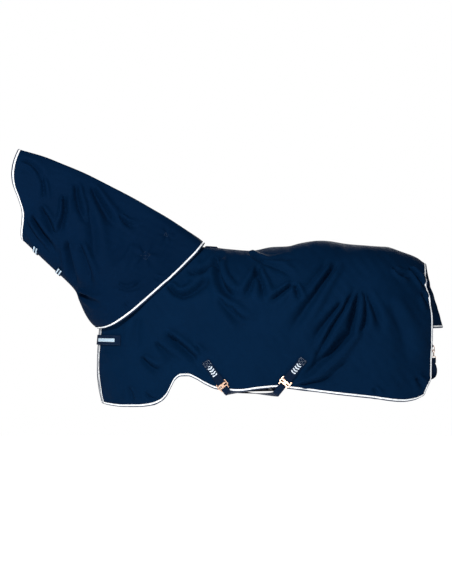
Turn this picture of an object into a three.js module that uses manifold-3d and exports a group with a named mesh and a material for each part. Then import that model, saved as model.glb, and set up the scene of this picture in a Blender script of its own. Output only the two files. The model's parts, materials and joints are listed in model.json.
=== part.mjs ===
// Horse turnout rug with a neck cover, in the shape it takes on the horse. Millimetres, +Z up.
// The horse faces -X and its near (left) side is -Y. The origin is under the lining at the withers.
import * as THREE from "three";
import { mergeVertices } from "three/addons/utils/BufferGeometryUtils.js";
import Module from "manifold-3d";

const wasm = await Module();
wasm.setup();

// Driving sizes.
const rug = {
  length: 1860, // chest to tail, in a straight line
  drop: 900, // withers to the lowest hem
  halfWidth: 320, // at the barrel, outside
  chestDepth: 360, // how far the rounded breast reaches back
  frontEdge: 0.18, // near-side front edge, as a share of the quarter turn round the breast
  frontUnderlap: -0.165, // off-side front edge, past the centre line
};
const cloth = {
  shell: 5, // outer cloth with its fill
  lining: 3,
  gap: 0.7, // between two layers
  seam: 0.4, // from the centre line to a panel's edge
};
const neck = {
  lift: 11, // the cover's outer face above the rug's outer face
  split: 0.62, // where the neck tube ends and the shoulder skirt starts, along the cover
  splitGap: 0.0003,
  gap: 1,
  throatGap: 4,
  shell: 4,
  lining: 1.4,
};
const binding = { depth: 14, wall: 1.6, gap: 0.7 };
const webbing = { wide: 50, narrow: 25, belly: 40, thick: 3, gap: 0.8 };
const ring = { bar: 3.4, inside: webbing.narrow + 11, reach: 20, clearance: 0.5, loopWall: 1.8 };
const plate = { sideRoom: 2, tall: 36, thick: 3, bar: 5 };
plate.wide = webbing.wide + 2 * (plate.bar + plate.sideRoom);
const flapSplit = { x: -400, z: -458, gap: 0.9 }; // where the off-side chest flap is cut free

// The outlines are drawn on a block of these sizes, and graded to the sizes above.
const block = { length: 1860, drop: 900, halfWidth: 320 };
const along = (x) => (x * rug.length) / block.length;
const down = (z) => (z * rug.drop) / block.drop;
const across = (y) => (y * rug.halfWidth) / block.halfWidth;
const graded = (points) => points.map(([x, z]) => [along(x), down(z)]);

const clamp01 = (v) => Math.min(1, Math.max(0, v));
const smooth = (v) => clamp01(v) ** 2 * (3 - 2 * clamp01(v));
const mix = (a, b, t) => a + (b - a) * t;

// A smooth function of the first coordinate through the points, with no overshoot.
function through(points) {
  const slope = (i) => (points[i + 1][1] - points[i][1]) / (points[i + 1][0] - points[i][0]);
  const last = points.length - 1;
  const bend = points.map((_, i) => {
    if (i === 0) return slope(0);
    if (i === last) return slope(last - 1);
    const [a, b] = [slope(i - 1), slope(i)];
    return a * b <= 0 ? 0 : (2 * a * b) / (a + b);
  });
  return (x) => {
    if (x <= points[0][0]) return points[0][1] + bend[0] * (x - points[0][0]);
    if (x >= points[last][0]) return points[last][1] + bend[last] * (x - points[last][0]);
    const i = points.findIndex((p) => p[0] > x) - 1;
    const w = points[i + 1][0] - points[i][0];
    const t = (x - points[i][0]) / w;
    const [h1, h2] = [t * t * (3 - 2 * t), t * (1 - t)];
    return mix(points[i][1], points[i + 1][1], h1) + w * h2 * ((1 - t) * bend[i] - t * bend[i + 1]);
  };
}

// The rug's side outline.
const backLine = [[3, 9], [125, 1], [268, -10], [382, 6], [485, 15], [553, 32], [655, 46], [809, 29]]
  .concat([[929, 18], [1032, 14], [1134, -20], [1203, -48], [1262, -85]]);
const maneLine = [[-1046, 559], [-815, 481], [-542, 356], [-302, 226], [-97, 91], [-29, 40]];
const crest = through(graded(maneLine.concat(backLine)));
const neckline = [[-592, -412], [-540, -368], [-465, -300], [-382, -228], [-298, -152], [-214, -75]]
  .concat([[-90, -12], [-22, 8]]);
const panelTop = through(graded(neckline.concat(backLine)));
const hem = through(graded([
  [-600, -868], [-550, -881], [-460, -889], [-360, -887], [-285, -877], [-235, -855], [-203, -822],
  [-180, -776], [-158, -736], [-125, -714], [-85, -713], [-40, -730], [10, -759], [75, -786],
  [195, -800], [308, -786], [420, -777], [507, -786], [780, -820], [930, -836], [1123, -858],
  [1185, -850], [1245, -825],
]));
const breast = through(graded([[-900, -572], [-860, -585], [-790, -600], [-700, -608], [-620, -607], [-460, -596]])
  .map(([z, x]) => [(z * block.length * rug.drop) / (rug.length * block.drop), (x * rug.length * block.drop) / (block.length * rug.drop)]));
const rump = through([
  [-830, 1240], [-767, 1266], [-727, 1284], [-590, 1286], [-500, 1290], [-395, 1290], [-310, 1280],
  [-185, 1256], [-85, 1262],
].map(([z, x]) => [down(z), along(x)]));

// How wide the horse under the rug is: the widest level, the half width there, and the crown's shape.
const widestLevel = through(graded([
  [-1050, 260], [-850, 140], [-730, 20], [-600, -320], [-400, -500], [-200, -520], [0, -430],
  [200, -370], [500, -340], [900, -330], [1300, -420],
]));
const widest = through([
  [-1100, 100], [-900, 105], [-750, 125], [-600, 200], [-450, 244], [-300, 258], [-150, 268],
  [0, 280], [150, 300], [300, 320], [500, 320], [700, 308], [850, 305], [950, 300], [1050, 285],
  [1150, 252], [1230, 212], [1300, 165],
].map(([x, y]) => [along(x), across(y)]));
const flatness = through([[-1000, 0.2], [-750, 0.35], [-500, 0.7], [-200, 0.75], [0, 0.4], [150, 0], [1300, 0]]
  .map(([x, k]) => [along(x), k]));
const hemTuck = 0.05; // how much the sides draw in for each crown height below the widest level

function crown(x, z, lift) {
  const top = crest(x) + lift;
  const t = (top - z) / (top - widestLevel(x));
  if (t >= 1) return widest(x) * (1 - hemTuck * (t - 1));
  if (t <= 0) return 0;
  return widest(x) * mix(Math.sqrt(1 - (1 - t) ** 2), smooth(t), flatness(x));
}

// A point of the rug's outer face. q runs 0 to 1 round the breast and 1 to 2 back to the tail;
// below 0 it has passed the centre line. s runs from the top edge or spine to the hem.
function bodyPoint(side, q, s, top = panelTop, bottom = hem) {
  const meet = (edge) => [0, 0, 0, 0, 0, 0].reduce((z) => edge(stationX(q, z)), edge(mix(0, along(600), q - 1)));
  return bodyAt(side, q, mix(meet(top), meet(bottom), s));
}

function stationX(q, z) {
  if (q < 1) return breast(z) + rug.chestDepth * (1 - Math.cos((q * Math.PI) / 2));
  return mix(breast(z) + rug.chestDepth, rump(z), q - 1);
}

function bodyAt(side, q, z) {
  const x = stationX(q, z);
  const y = crown(x, z, 0) * (q < 1 ? Math.sin((q * Math.PI) / 2) : 1);
  return new THREE.Vector3(x, side * y, z);
}

// q of a place along the side, behind the breast or on it.
function stationAt(x, z) {
  const behind = (x - breast(z) - rug.chestDepth) / (rump(z) - breast(z) - rug.chestDepth);
  if (behind >= 0) return 1 + behind;
  return (Math.acos(clamp01(1 - (x - breast(z)) / rug.chestDepth)) * 2) / Math.PI;
}
const sidePoint = (side, x, z) => bodyAt(side, stationAt(x, z), z);

// The neck cover's four edges, seen from the side.
const spline = (points) => new THREE.SplineCurve(graded(points).map(([x, z]) => new THREE.Vector2(x, z)));
const mane = spline([
  [-1052, 566], [-918, 528], [-815, 488], [-678, 431], [-542, 363], [-405, 292], [-302, 233],
  [-200, 173], [-97, 106], [-29, 61], [4, 34],
]);
const throatPoints = [
  [-1034, 52], [-958, -20], [-861, -111], [-781, -185], [-730, -242], [-707, -299], [-673, -373],
  [-640, -422], [-606, -452],
];
const throat = spline(throatPoints);
const faceEdge = spline([
  [-1052, 566], [-1076, 491], [-1084, 421], [-1075, 357], [-1047, 283], [-1027, 212], [-1028, 154],
  [-1036, 90], [-1034, 52],
]);
const shoulderEdge = spline([
  [4, 34], [-34, -18], [-80, -67], [-154, -141], [-238, -217], [-322, -292], [-405, -363],
  [-490, -421], [-553, -447], [-606, -452],
]);
const coverFront = through([[-900, -620], ...throatPoints.map(([x, z]) => [z, x]).reverse()]
  .map(([z, x]) => [down(z), along(x)]));

// A point of the neck cover's outer face: a runs from the face to the shoulder, b from mane to throat.
function coverPoint(side, a, beta) {
  const b = (1 - Math.cos(Math.PI * beta)) / 2;
  const [m, t, f, e] = [mane.getPointAt(a), throat.getPointAt(a), faceEdge.getPointAt(b), shoulderEdge.getPointAt(b)];
  const corner = (p, q, r, s) => (1 - a) * (1 - b) * p + (1 - a) * b * q + a * (1 - b) * r + a * b * s;
  const [m0, m1, t0, t1] = [mane.getPoint(0), mane.getPoint(1), throat.getPoint(0), throat.getPoint(1)];
  const x = mix(m.x, t.x, b) + mix(f.x, e.x, a) - corner(m0.x, t0.x, m1.x, t1.x);
  const z = mix(m.y, t.y, b) + mix(f.y, e.y, a) - corner(m0.y, t0.y, m1.y, t1.y);
  const front = (coverFront(t.y) - t.x) * b ** 4;
  const round = clamp01((x + front - coverFront(z)) / rug.chestDepth);
  const bodyRound = Math.sqrt(1 - (1 - round) ** 2);
  const overRug = neck.lift * smooth((a - neck.split) / 0.2) * smooth(18 * b);
  const seam = (crest(m.x) + neck.lift - m.y) * (1 - b) ** 4;
  const y = crown(x, z + seam, neck.lift) * bodyRound + overRug + neck.throatGap * smooth(b * 3 - 2);
  return new THREE.Vector3(x, side * y, z);
}

// Steps between the values, as [from, steps, from, steps, ..., to].
function steps(...plan) {
  const list = [plan[0]];
  for (let i = 0; i + 2 < plan.length; i += 2) {
    for (let k = 1; k <= plan[i + 1]; k++) list.push(mix(plan[i], plan[i + 2], k / plan[i + 1]));
  }
  return list;
}

// Points and outward normals of a surface on a grid. outward is any vector that leaves the object.
// On the centre line the normal stays in the centre plane, so that the two sides keep apart.
const seamBand = 10;
function gridOf(surface, us, vs, outward) {
  const h = 1e-3;
  return us.map((u) => vs.map((v) => {
    const [u0, u1] = [Math.max(u - h, us[0]), Math.min(u + h, us.at(-1))];
    const [v0, v1] = [Math.max(v - h, vs[0]), Math.min(v + h, vs.at(-1))];
    const du = surface(u1, v).sub(surface(u0, v));
    const dv = surface(u, v1).sub(surface(u, v0));
    const normal = du.cross(dv).normalize();
    const point = surface(u, v);
    if (normal.dot(outward(point, u)) < 0) normal.negate();
    if (Math.abs(point.y) < seamBand) normal.setY(0).normalize();
    return { point, normal };
  }));
}

function solidFrom(positions, triangles) {
  const geometry = new THREE.BufferGeometry();
  geometry.setAttribute("position", new THREE.Float32BufferAttribute(positions.flatMap((p) => p.toArray()), 3));
  geometry.setIndex(triangles);
  if (signedVolume(positions, triangles) < 0) {
    geometry.setIndex(triangles.map((_, i) => triangles[i - (i % 3) + [0, 2, 1][i % 3]]));
  }
  geometry.computeVertexNormals();
  return geometry;
}

function signedVolume(p, t) {
  let sum = 0;
  for (let i = 0; i < t.length; i += 3) {
    sum += p[t[i]].dot(new THREE.Vector3().crossVectors(p[t[i + 1]], p[t[i + 2]]));
  }
  return sum / 6;
}

// A closed tube of sections: each row is one section's corners, in order round it.
function skin(rows) {
  const n = rows[0].length;
  const triangles = [];
  for (let i = 0; i + 1 < rows.length; i++) {
    for (let k = 0; k < n; k++) {
      const [a, b] = [i * n + k, i * n + ((k + 1) % n)];
      triangles.push(a, b, b + n, a, b + n, a + n);
    }
  }
  const cap = THREE.ShapeUtils.triangulateShape(flatten(rows[0]), []);
  cap.forEach(([a, b, c]) => triangles.push(a, c, b));
  const base = (rows.length - 1) * n;
  cap.forEach(([a, b, c]) => triangles.push(base + a, base + b, base + c));
  return solidFrom(rows.flat(), triangles);
}

// A section's corners in its own plane, for its cap.
function flatten(corners) {
  const centre = corners.reduce((s, p) => s.add(p), new THREE.Vector3()).divideScalar(corners.length);
  const normal = new THREE.Vector3();
  corners.forEach((p, i) => {
    const q = corners[(i + 1) % corners.length];
    normal.add(p.clone().sub(centre).cross(q.clone().sub(centre)));
  });
  const ax = corners[1].clone().sub(corners[0]).normalize();
  const ay = normal.normalize().cross(ax);
  return corners.map((p) => new THREE.Vector2(p.clone().sub(centre).dot(ax), p.clone().sub(centre).dot(ay)));
}

// A sheet of constant thickness between two offsets from a surface's grid.
function sheet(grid, outer, inner) {
  const [rows, columns] = [grid.length, grid[0].length];
  const at = ({ point, normal }, d) => point.clone().addScaledVector(normal, d);
  const points = [outer, inner].flatMap((d) => grid.flatMap((row) => row.map((g) => at(g, d))));
  const id = (layer, i, k) => layer * rows * columns + i * columns + k;
  const triangles = [];
  const quad = (a, b, c, d) => triangles.push(a, b, c, a, c, d);
  for (let i = 0; i + 1 < rows; i++) {
    for (let k = 0; k + 1 < columns; k++) {
      quad(id(0, i, k), id(0, i + 1, k), id(0, i + 1, k + 1), id(0, i, k + 1));
      quad(id(1, i, k), id(1, i, k + 1), id(1, i + 1, k + 1), id(1, i + 1, k));
    }
    quad(id(0, i, 0), id(1, i, 0), id(1, i + 1, 0), id(0, i + 1, 0));
    const k = columns - 1;
    quad(id(0, i, k), id(0, i + 1, k), id(1, i + 1, k), id(1, i, k));
  }
  for (let k = 0; k + 1 < columns; k++) {
    quad(id(0, 0, k), id(0, 0, k + 1), id(1, 0, k + 1), id(1, 0, k));
    const i = rows - 1;
    quad(id(0, i, k), id(1, i, k), id(1, i, k + 1), id(0, i, k + 1));
  }
  return solidFrom(points, triangles);
}

// Binding folded over a sheet's edge. edge lists {point, normal, inward}, inward running into the sheet.
function edgeBinding(edge, thickness, gap = binding.gap) {
  const { depth, wall } = binding;
  const [o, i] = [gap, -thickness - gap];
  const profile = [
    [o + wall, depth], [o + wall, -gap - wall], [i - wall, -gap - wall], [i - wall, depth],
    [i, depth], [i, -gap], [o, -gap], [o, depth],
  ];
  return skin(edge.map(({ point, normal, inward }) => profile.map(([n, d]) =>
    point.clone().addScaledVector(normal, n).addScaledVector(inward, d))));
}
const edgeOf = (line, next) => line.map(({ point, normal }, i) => ({
  point,
  normal,
  inward: next[i].point.clone().sub(point).normalize(),
}));
const columnOf = (grid, k) => grid.map((row) => row.at(k));

// A flat strip through points with face normals: width across, thick from the given offset outwards.
function strip(path, width, thick, offset) {
  const rows = path.map(({ point, normal }, i) => {
    const ahead = path[Math.min(i + 1, path.length - 1)].point;
    const behind = path[Math.max(i - 1, 0)].point;
    const side = ahead.clone().sub(behind).cross(normal).normalize();
    const corner = (w, n) => point.clone().addScaledVector(side, w).addScaledVector(normal, n);
    return [
      corner(-width / 2, offset), corner(width / 2, offset),
      corner(width / 2, offset + thick), corner(-width / 2, offset + thick),
    ];
  });
  return skin(rows);
}

// The outward normal of the rug at a place on its side.
function sideNormal(side, x, z) {
  const h = 2;
  const dx = sidePoint(side, x + h, z).sub(sidePoint(side, x - h, z));
  const dz = sidePoint(side, x, z + h).sub(sidePoint(side, x, z - h));
  const normal = dx.cross(dz).normalize();
  return normal.y * side < 0 ? normal.negate() : normal;
}
const onSide = (side, x, z) => ({ point: sidePoint(side, x, z), normal: sideNormal(side, x, z) });

function solidOf(geometry) {
  const bare = geometry.clone();
  ["normal", "uv"].forEach((name) => bare.deleteAttribute(name));
  const merged = mergeVertices(bare, 1e-4);
  return new wasm.Manifold(new wasm.Mesh({
    numProp: 3,
    vertProperties: merged.attributes.position.array,
    triVerts: new Uint32Array(merged.index.array),
  }));
}
function geometryOf(solid) {
  const { numProp, vertProperties, triVerts } = solid.getMesh();
  const positions = [];
  for (let i = 0; i < vertProperties.length; i += numProp) positions.push(...vertProperties.subarray(i, i + 3));
  const geometry = new THREE.BufferGeometry();
  geometry.setAttribute("position", new THREE.Float32BufferAttribute(positions, 3));
  geometry.setIndex([...triVerts]);
  return geometry;
}
const boxBetween = (lo, hi) => new THREE.BoxGeometry(hi[0] - lo[0], hi[1] - lo[1], hi[2] - lo[2])
  .translate((lo[0] + hi[0]) / 2, (lo[1] + hi[1]) / 2, (lo[2] + hi[2]) / 2);

// Materials.
const material = (color, roughness, metalness = 0) => new THREE.MeshStandardMaterial({ color, roughness, metalness });
const navy = material(0x0b2748, 0.75);
const navyLining = material(0x0a1c36, 0.6);
const navyWebbing = material(0x12315a, 0.7);
const whitePiping = material(0xe9ebec, 0.55);
const reflective = material(0xb9cbdc, 0.3);
const brass = material(0xb98a5e, 0.35, 1);

const rugGroup = new THREE.Group();
const chestFlap = new THREE.Group();
const neckCover = new THREE.Group();
const bellyStraps = new THREE.Group();
const tail = new THREE.Group();
const legStraps = new THREE.Group();

function add(group, name, geometry, finish) {
  const mesh = new THREE.Mesh(geometry, finish);
  mesh.name = name;
  group.add(mesh);
  return mesh;
}
const sideName = (side) => (side < 0 ? "left" : "right");

// Body panels and linings.
const arch = 1.118; // q where the cut-out for the foreleg ends
const edgeShare = 0.986; // an edge's binding lies within the last strip of the panel
const bodyStations = (q0) => steps(q0, 1, q0 + 0.06, 5, 1, 5, arch, 11, 1.93, 1, 1.965, 1, 1 + edgeShare, 1, 2);
const bodyLevels = steps(0, 7, 1).map((v) => v ** 1.7).toSpliced(-1, 0, 0.97);
const bodyOutward = (side) => (p) => new THREE.Vector3(p.x < along(-500) ? -1 : 0, side, 0.6);
function bodyGrid(side, q0) {
  const grid = gridOf((u, v) => bodyPoint(side, u, v), bodyStations(q0), bodyLevels, bodyOutward(side));
  grid.forEach((row, i) => row.forEach((g) => {
    if (bodyStations(q0)[i] > 1) g.point.y += side * cloth.seam;
  }));
  return grid;
}
const bodyThickness = cloth.shell + cloth.gap + cloth.lining;
const leftGrid = bodyGrid(-1, rug.frontEdge);
const rightGrid = bodyGrid(1, rug.frontUnderlap);

// The off-side chest is cut into a flap that opens and the panel behind and above it.
const flap = { x: along(flapSplit.x), z: down(flapSplit.z) };
const reach = 2 * rug.drop;
const flapBox = (inset) => solidOf(boxBetween(
  [-reach, -rug.halfWidth, -reach], [flap.x - inset, rug.halfWidth * 1.2, flap.z - inset],
));

function addBodyPanels() {
  add(rugGroup, "body_panel_left", sheet(leftGrid, 0, -cloth.shell), navy);
  const inner = -cloth.shell - cloth.gap;
  add(rugGroup, "lining_left", sheet(leftGrid, inner, inner - cloth.lining), navyLining);
  const right = solidOf(sheet(rightGrid, 0, -cloth.shell));
  add(rugGroup, "body_panel_right", geometryOf(right.subtract(flapBox(0))), navy);
  add(chestFlap, "chest_flap_right", geometryOf(right.intersect(flapBox(flapSplit.gap))), navy);
  const rightLining = solidOf(sheet(rightGrid, inner, inner - cloth.lining));
  add(rugGroup, "lining_right", geometryOf(rightLining.subtract(flapBox(0))), navyLining);
}

// Bindings on the rug's edges.
function addBodyBindings() {
  const cut = rightGrid.findIndex((row) => row.at(-1).point.x > flap.x + flapSplit.gap);
  const bottom = (grid) => edgeOf(columnOf(grid, -1), columnOf(grid, -2));
  const ends = (grid, i, next) => edgeOf(grid.at(i), grid.at(next));
  const trimmed = (edge) => edge.slice(0, -1);
  add(rugGroup, "hem_binding_left", edgeBinding(bottom(leftGrid).slice(1, -1), bodyThickness), whitePiping);
  add(rugGroup, "hem_binding_right", edgeBinding(bottom(rightGrid).slice(cut, -1), bodyThickness), whitePiping);
  add(rugGroup, "front_edge_binding", edgeBinding(ends(leftGrid, 0, 1), bodyThickness), whitePiping);
  for (const [side, grid] of [[-1, leftGrid], [1, rightGrid]]) {
    const edge = trimmed(ends(grid, -1, -2)).slice(2).concat(ends(grid, -1, -2).slice(-1));
    add(rugGroup, `rear_binding_${sideName(side)}`, edgeBinding(edge, bodyThickness), whitePiping);
  }
}

// Neck cover: a tube on the neck, and a skirt over the shoulders that bends where the neck tips.
const tubeStations = steps(0, 1, 1 - edgeShare, 6, neck.split - neck.splitGap);
const skirtStations = steps(neck.split + neck.splitGap, 4, edgeShare, 1, 1);
const coverLevels = steps(0, 12, 1);
function coverOutward(point, a) {
  const [m, t] = [mane.getPointAt(a), throat.getPointAt(a)];
  return new THREE.Vector3(point.x - (m.x + t.x) / 2, point.y, point.z - (m.y + t.y) / 2);
}
function coverGrid(side, stations) {
  const grid = gridOf((a, b) => coverPoint(side, a, b), stations, coverLevels, coverOutward);
  grid.forEach((row) => {
    row[0].point.y = side * cloth.seam;
  });
  return grid;
}
const coverThickness = neck.shell + neck.gap + neck.lining;

function addNeckCover() {
  const inner = -neck.shell - neck.gap;
  for (const side of [-1, 1]) {
    const [tube, skirt] = [coverGrid(side, tubeStations), coverGrid(side, skirtStations)];
    add(neckCover, `neck_panel_${sideName(side)}`, sheet(tube, 0, -neck.shell), navy);
    add(neckCover, `neck_lining_${sideName(side)}`, sheet(tube, inner, inner - neck.lining), navyLining);
    add(rugGroup, `shoulder_skirt_${sideName(side)}`, sheet(skirt, 0, -neck.shell), navy);
    add(rugGroup, `skirt_lining_${sideName(side)}`, sheet(skirt, inner, inner - neck.lining), navyLining);
    const rear = edgeOf(skirt.at(-1), skirt.at(-2)).slice(2, -2);
    add(rugGroup, `skirt_binding_${sideName(side)}`, edgeBinding(rear, coverThickness, 2 * binding.gap), whitePiping);
    const face = edgeOf(tube[0], tube[1]).slice(1, -1);
    add(neckCover, `face_binding_${sideName(side)}`, edgeBinding(face, coverThickness), whitePiping);
  }
  addThroatStrap(0.16, "upper");
  addThroatStrap(0.42, "lower");
}

// A strap across the throat, with a reflective end on the near side.
function addThroatStrap(a, where) {
  const reachBack = 0.16;
  const half = (side) => steps(1 - reachBack, 4, 1)
    .map((b) => gridOf((u, v) => coverPoint(side, u, v), [a, a + 0.01], [b - 0.01, b], coverOutward)[0][1]);
  const path = half(-1).concat(half(1).reverse());
  add(neckCover, `throat_strap_${where}`, strip(path, webbing.belly - 4, webbing.thick, 5 * webbing.gap), navyWebbing);
  const top = 5 * webbing.gap + webbing.thick + 1;
  add(neckCover, `throat_reflector_${where}`, strip(path.slice(0, 3), 10, 1, top), reflective);
}

// A ribbon of webbing along a centre line, flat across the given direction.
function ribbon(path, acrossOf, width, thick) {
  return skin(path.map((point, i) => {
    const ahead = path[Math.min(i + 1, path.length - 1)];
    const behind = path[Math.max(i - 1, 0)];
    const tangent = ahead.clone().sub(behind).normalize();
    const side = acrossOf(point, i).clone();
    side.addScaledVector(tangent, -side.dot(tangent)).normalize();
    const up = tangent.clone().cross(side).normalize();
    const corner = (w, n) => point.clone().addScaledVector(side, w * width / 2).addScaledVector(up, n * thick / 2);
    return [corner(-1, -1), corner(1, -1), corner(1, 1), corner(-1, 1)];
  }));
}

// A closed loop of round bar through the points, lying in the plane with the given normal.
function loopBar(points, planeNormal, radius) {
  const sides = 8;
  const rows = points.map((p, i) => {
    const tangent = points[(i + 1) % points.length].clone().sub(points.at(i - 1)).normalize();
    const outward = tangent.clone().cross(planeNormal).normalize();
    return Array.from({ length: sides }, (_, k) => {
      const turn = (2 * Math.PI * k) / sides;
      return p.clone().addScaledVector(planeNormal, radius * Math.cos(turn))
        .addScaledVector(outward, radius * Math.sin(turn));
    });
  });
  const triangles = [];
  rows.forEach((_, i) => {
    for (let k = 0; k < sides; k++) {
      const [a, b] = [i * sides + k, i * sides + ((k + 1) % sides)];
      const [c, d] = [((i + 1) % rows.length) * sides + k, ((i + 1) % rows.length) * sides + ((k + 1) % sides)];
      triangles.push(a, b, d, a, d, c);
    }
  });
  return solidFrom(rows.flat(), triangles);
}

// Chest strap: sewn to the off-side flap, it fastens over the near-side panel.
const chest = { z: -519, from: -0.62, tabFrom: 0.03, to: 0.56, sewn: -0.34 };
function addChestStrap() {
  const high = binding.gap + binding.wall + 2 * webbing.gap;
  const round = (q, z) => bodyAt(q < 0 ? 1 : -1, Math.abs(q), z);
  const rise = (q) => round(q, down(chest.z) + 20).sub(round(q, down(chest.z) - 20)).normalize();
  const lifted = (q, extra) => {
    const z = down(chest.z);
    const normal = round(q + 0.01, z).sub(round(q - 0.01, z)).cross(rise(q)).normalize();
    if (normal.x > 0) normal.negate();
    const lift = mix(cloth.gap + 0.6, high, smooth((q - chest.sewn) / 0.2));
    return round(q, z).addScaledVector(normal, lift + extra + webbing.thick / 2);
  };
  const strapStations = steps(chest.from, 9, chest.tabFrom, 8, chest.to + 0.02);
  const strap = ribbon(strapStations.map((q) => lifted(q, 0)), (_, i) => rise(strapStations[i]), webbing.wide + 6,
    webbing.thick);
  add(chestFlap, "chest_strap", strap, navyWebbing);
  const tabStations = steps(chest.tabFrom, 8, chest.to);
  const tabLift = webbing.thick / 2 + 0.4 + 0.75;
  const tab = ribbon(tabStations.map((q) => lifted(q, tabLift)), (_, i) => rise(tabStations[i]), webbing.wide - 6, 1.5);
  add(chestFlap, "chest_reflector", tab, reflective);
}

// Surcingles: an anchor and a slot plate at each end, and a strap from each front one to the rear one
// across the belly. The near-side ends have T hooks.
const anchors = {
  front: { from: [12, -634], to: [98, -752] },
  rear: { from: [563, -620], to: [470, -735] },
};
const underHem = -812; // the level at which the belly straps pass under the hems
const stack = {
  laid: 1.7,
  low: binding.gap + binding.wall + 2 * webbing.gap + webbing.thick / 2,
  step: (webbing.thick + plate.thick) / 2 + 0.5,
};
// A frame on the rug's side at an anchor's end: s down the anchor, w across it, h outwards.
function anchorFrame(side, { from, to }) {
  const [x0, z0, x1, z1] = [along(from[0]), down(from[1]), along(to[0]), down(to[1])];
  const length = Math.hypot(x1 - x0, z1 - z0);
  const place = (s) => onSide(side, mix(x0, x1, s / length), mix(z0, z1, s / length));
  const d = place(length + 1).point.sub(place(length - 1).point).normalize();
  const n = place(length).normal;
  const w = d.clone().cross(n).normalize();
  const end = place(length).point;
  const point = (s, h, across = 0) => end.clone().addScaledVector(d, s).addScaledVector(n, h).addScaledVector(w, across);
  return { length, place, d, n, w, point };
}
const foldReach = 3.2; // how much longer than tall a fold round a flat bar is
const foldRound = (s, h, radius, count = 6) => steps(-90, count, 90).map((deg) => {
  const turn = (deg * Math.PI) / 180;
  return [s + Math.cos(turn) * (radius + foldReach), h - Math.sin(turn) * radius];
});

function framed(shape, frame, s, h, thick) {
  const geometry = new THREE.ExtrudeGeometry(shape, { depth: thick, bevelEnabled: false });
  const up = frame.d.clone().negate();
  const right = up.clone().cross(frame.n);
  const basis = new THREE.Matrix4().makeBasis(right, up, frame.n);
  basis.setPosition(frame.point(s, h - thick / 2));
  return geometry.applyMatrix4(basis);
}
function roundedRect(path, w, h, cy, r) {
  const [x0, x1, y0, y1] = [-w / 2, w / 2, cy - h / 2, cy + h / 2];
  path.moveTo(x0 + r, y0).lineTo(x1 - r, y0).quadraticCurveTo(x1, y0, x1, y0 + r).lineTo(x1, y1 - r)
    .quadraticCurveTo(x1, y1, x1 - r, y1).lineTo(x0 + r, y1).quadraticCurveTo(x0, y1, x0, y1 - r)
    .lineTo(x0, y0 + r).quadraticCurveTo(x0, y0, x0 + r, y0);
  return path;
}
// Slot plate with its upper bar on the anchor's end.
function slotPlate() {
  const shape = roundedRect(new THREE.Shape(), plate.wide, plate.tall, -plate.tall / 2 + plate.bar / 2, 7);
  const slot = (plate.tall - 3 * plate.bar) / 2;
  const first = -plate.bar / 2 - slot / 2;
  shape.holes.push(roundedRect(new THREE.Path(), plate.wide - 2 * plate.bar, slot, first, 3));
  shape.holes.push(roundedRect(new THREE.Path(), plate.wide - 2 * plate.bar, slot, first - slot - plate.bar, 3));
  return shape;
}
// T hook: the T hooks over the plate, and the strap folds round its lower bar.
const hook = { sideRoom: 1, frame: 20, stem: 16, tee: 40, bar: 5 };
hook.wide = webbing.belly + 2 * (hook.bar + hook.sideRoom);
function teeHook() {
  const [f, t, s] = [hook.wide / 2, hook.tee / 2, hook.stem / 2];
  const [y1, y2, y3] = [hook.frame, hook.frame + 9, hook.frame + 18];
  const shape = new THREE.Shape();
  shape.moveTo(-f, 0).lineTo(f, 0).lineTo(f, y1 - 4).quadraticCurveTo(f, y1, f - 4, y1).lineTo(s, y1).lineTo(s, y2)
    .lineTo(t, y2).quadraticCurveTo(t + 4, (y2 + y3) / 2, t, y3).lineTo(-t, y3)
    .quadraticCurveTo(-t - 4, (y2 + y3) / 2, -t, y2).lineTo(-s, y2).lineTo(-s, y1).lineTo(-f + 4, y1)
    .quadraticCurveTo(-f, y1, -f, y1 - 4).lineTo(-f, 0);
  const slot = hook.frame - 2 * hook.bar;
  shape.holes.push(roundedRect(new THREE.Path(), hook.wide - 2 * hook.bar, slot, hook.bar + slot / 2, 2));
  return shape;
}

function addAnchor(side, where) {
  const frame = anchorFrame(side, anchors[where]);
  const { low, step } = stack;
  const outline = [[-55, low + webbing.thick + 0.6], [-25, low + webbing.thick + 0.9], [-9, low + 2 * step]];
  const laid = steps(0, 5, frame.length - 80).map((s) => frame.place(s));
  const path = laid.map(({ point, normal }) => point.addScaledVector(normal, stack.laid + webbing.thick / 2));
  path.push(...outline.map(([s, h]) => frame.point(s, h)));
  path.push(...foldRound(0, low + step, step).map(([s, h]) => frame.point(s, h)));
  path.push(frame.point(-34, low));
  const name = `${where}_${sideName(side)}`;
  const across = (_, i) => (i < laid.length ? frame.d.clone().cross(laid[i].normal) : frame.w);
  add(rugGroup, `surcingle_anchor_${name}`, ribbon(path, across, webbing.wide - 2, webbing.thick), navyWebbing);
  add(rugGroup, `surcingle_plate_${name}`, framed(slotPlate(), frame, 0, low + step, plate.thick), brass);
  return frame;
}

function addSurcingles() {
  const frames = {};
  for (const side of [-1, 1]) {
    ["front", "rear"].forEach((where) => {
      frames[where + sideName(side)] = addAnchor(side, where);
    });
  }
  addBellyStrap(frames.frontleft, frames.rearright, "upper", -6);
  addBellyStrap(frames.rearleft, frames.frontright, "lower", 6);
}

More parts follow.
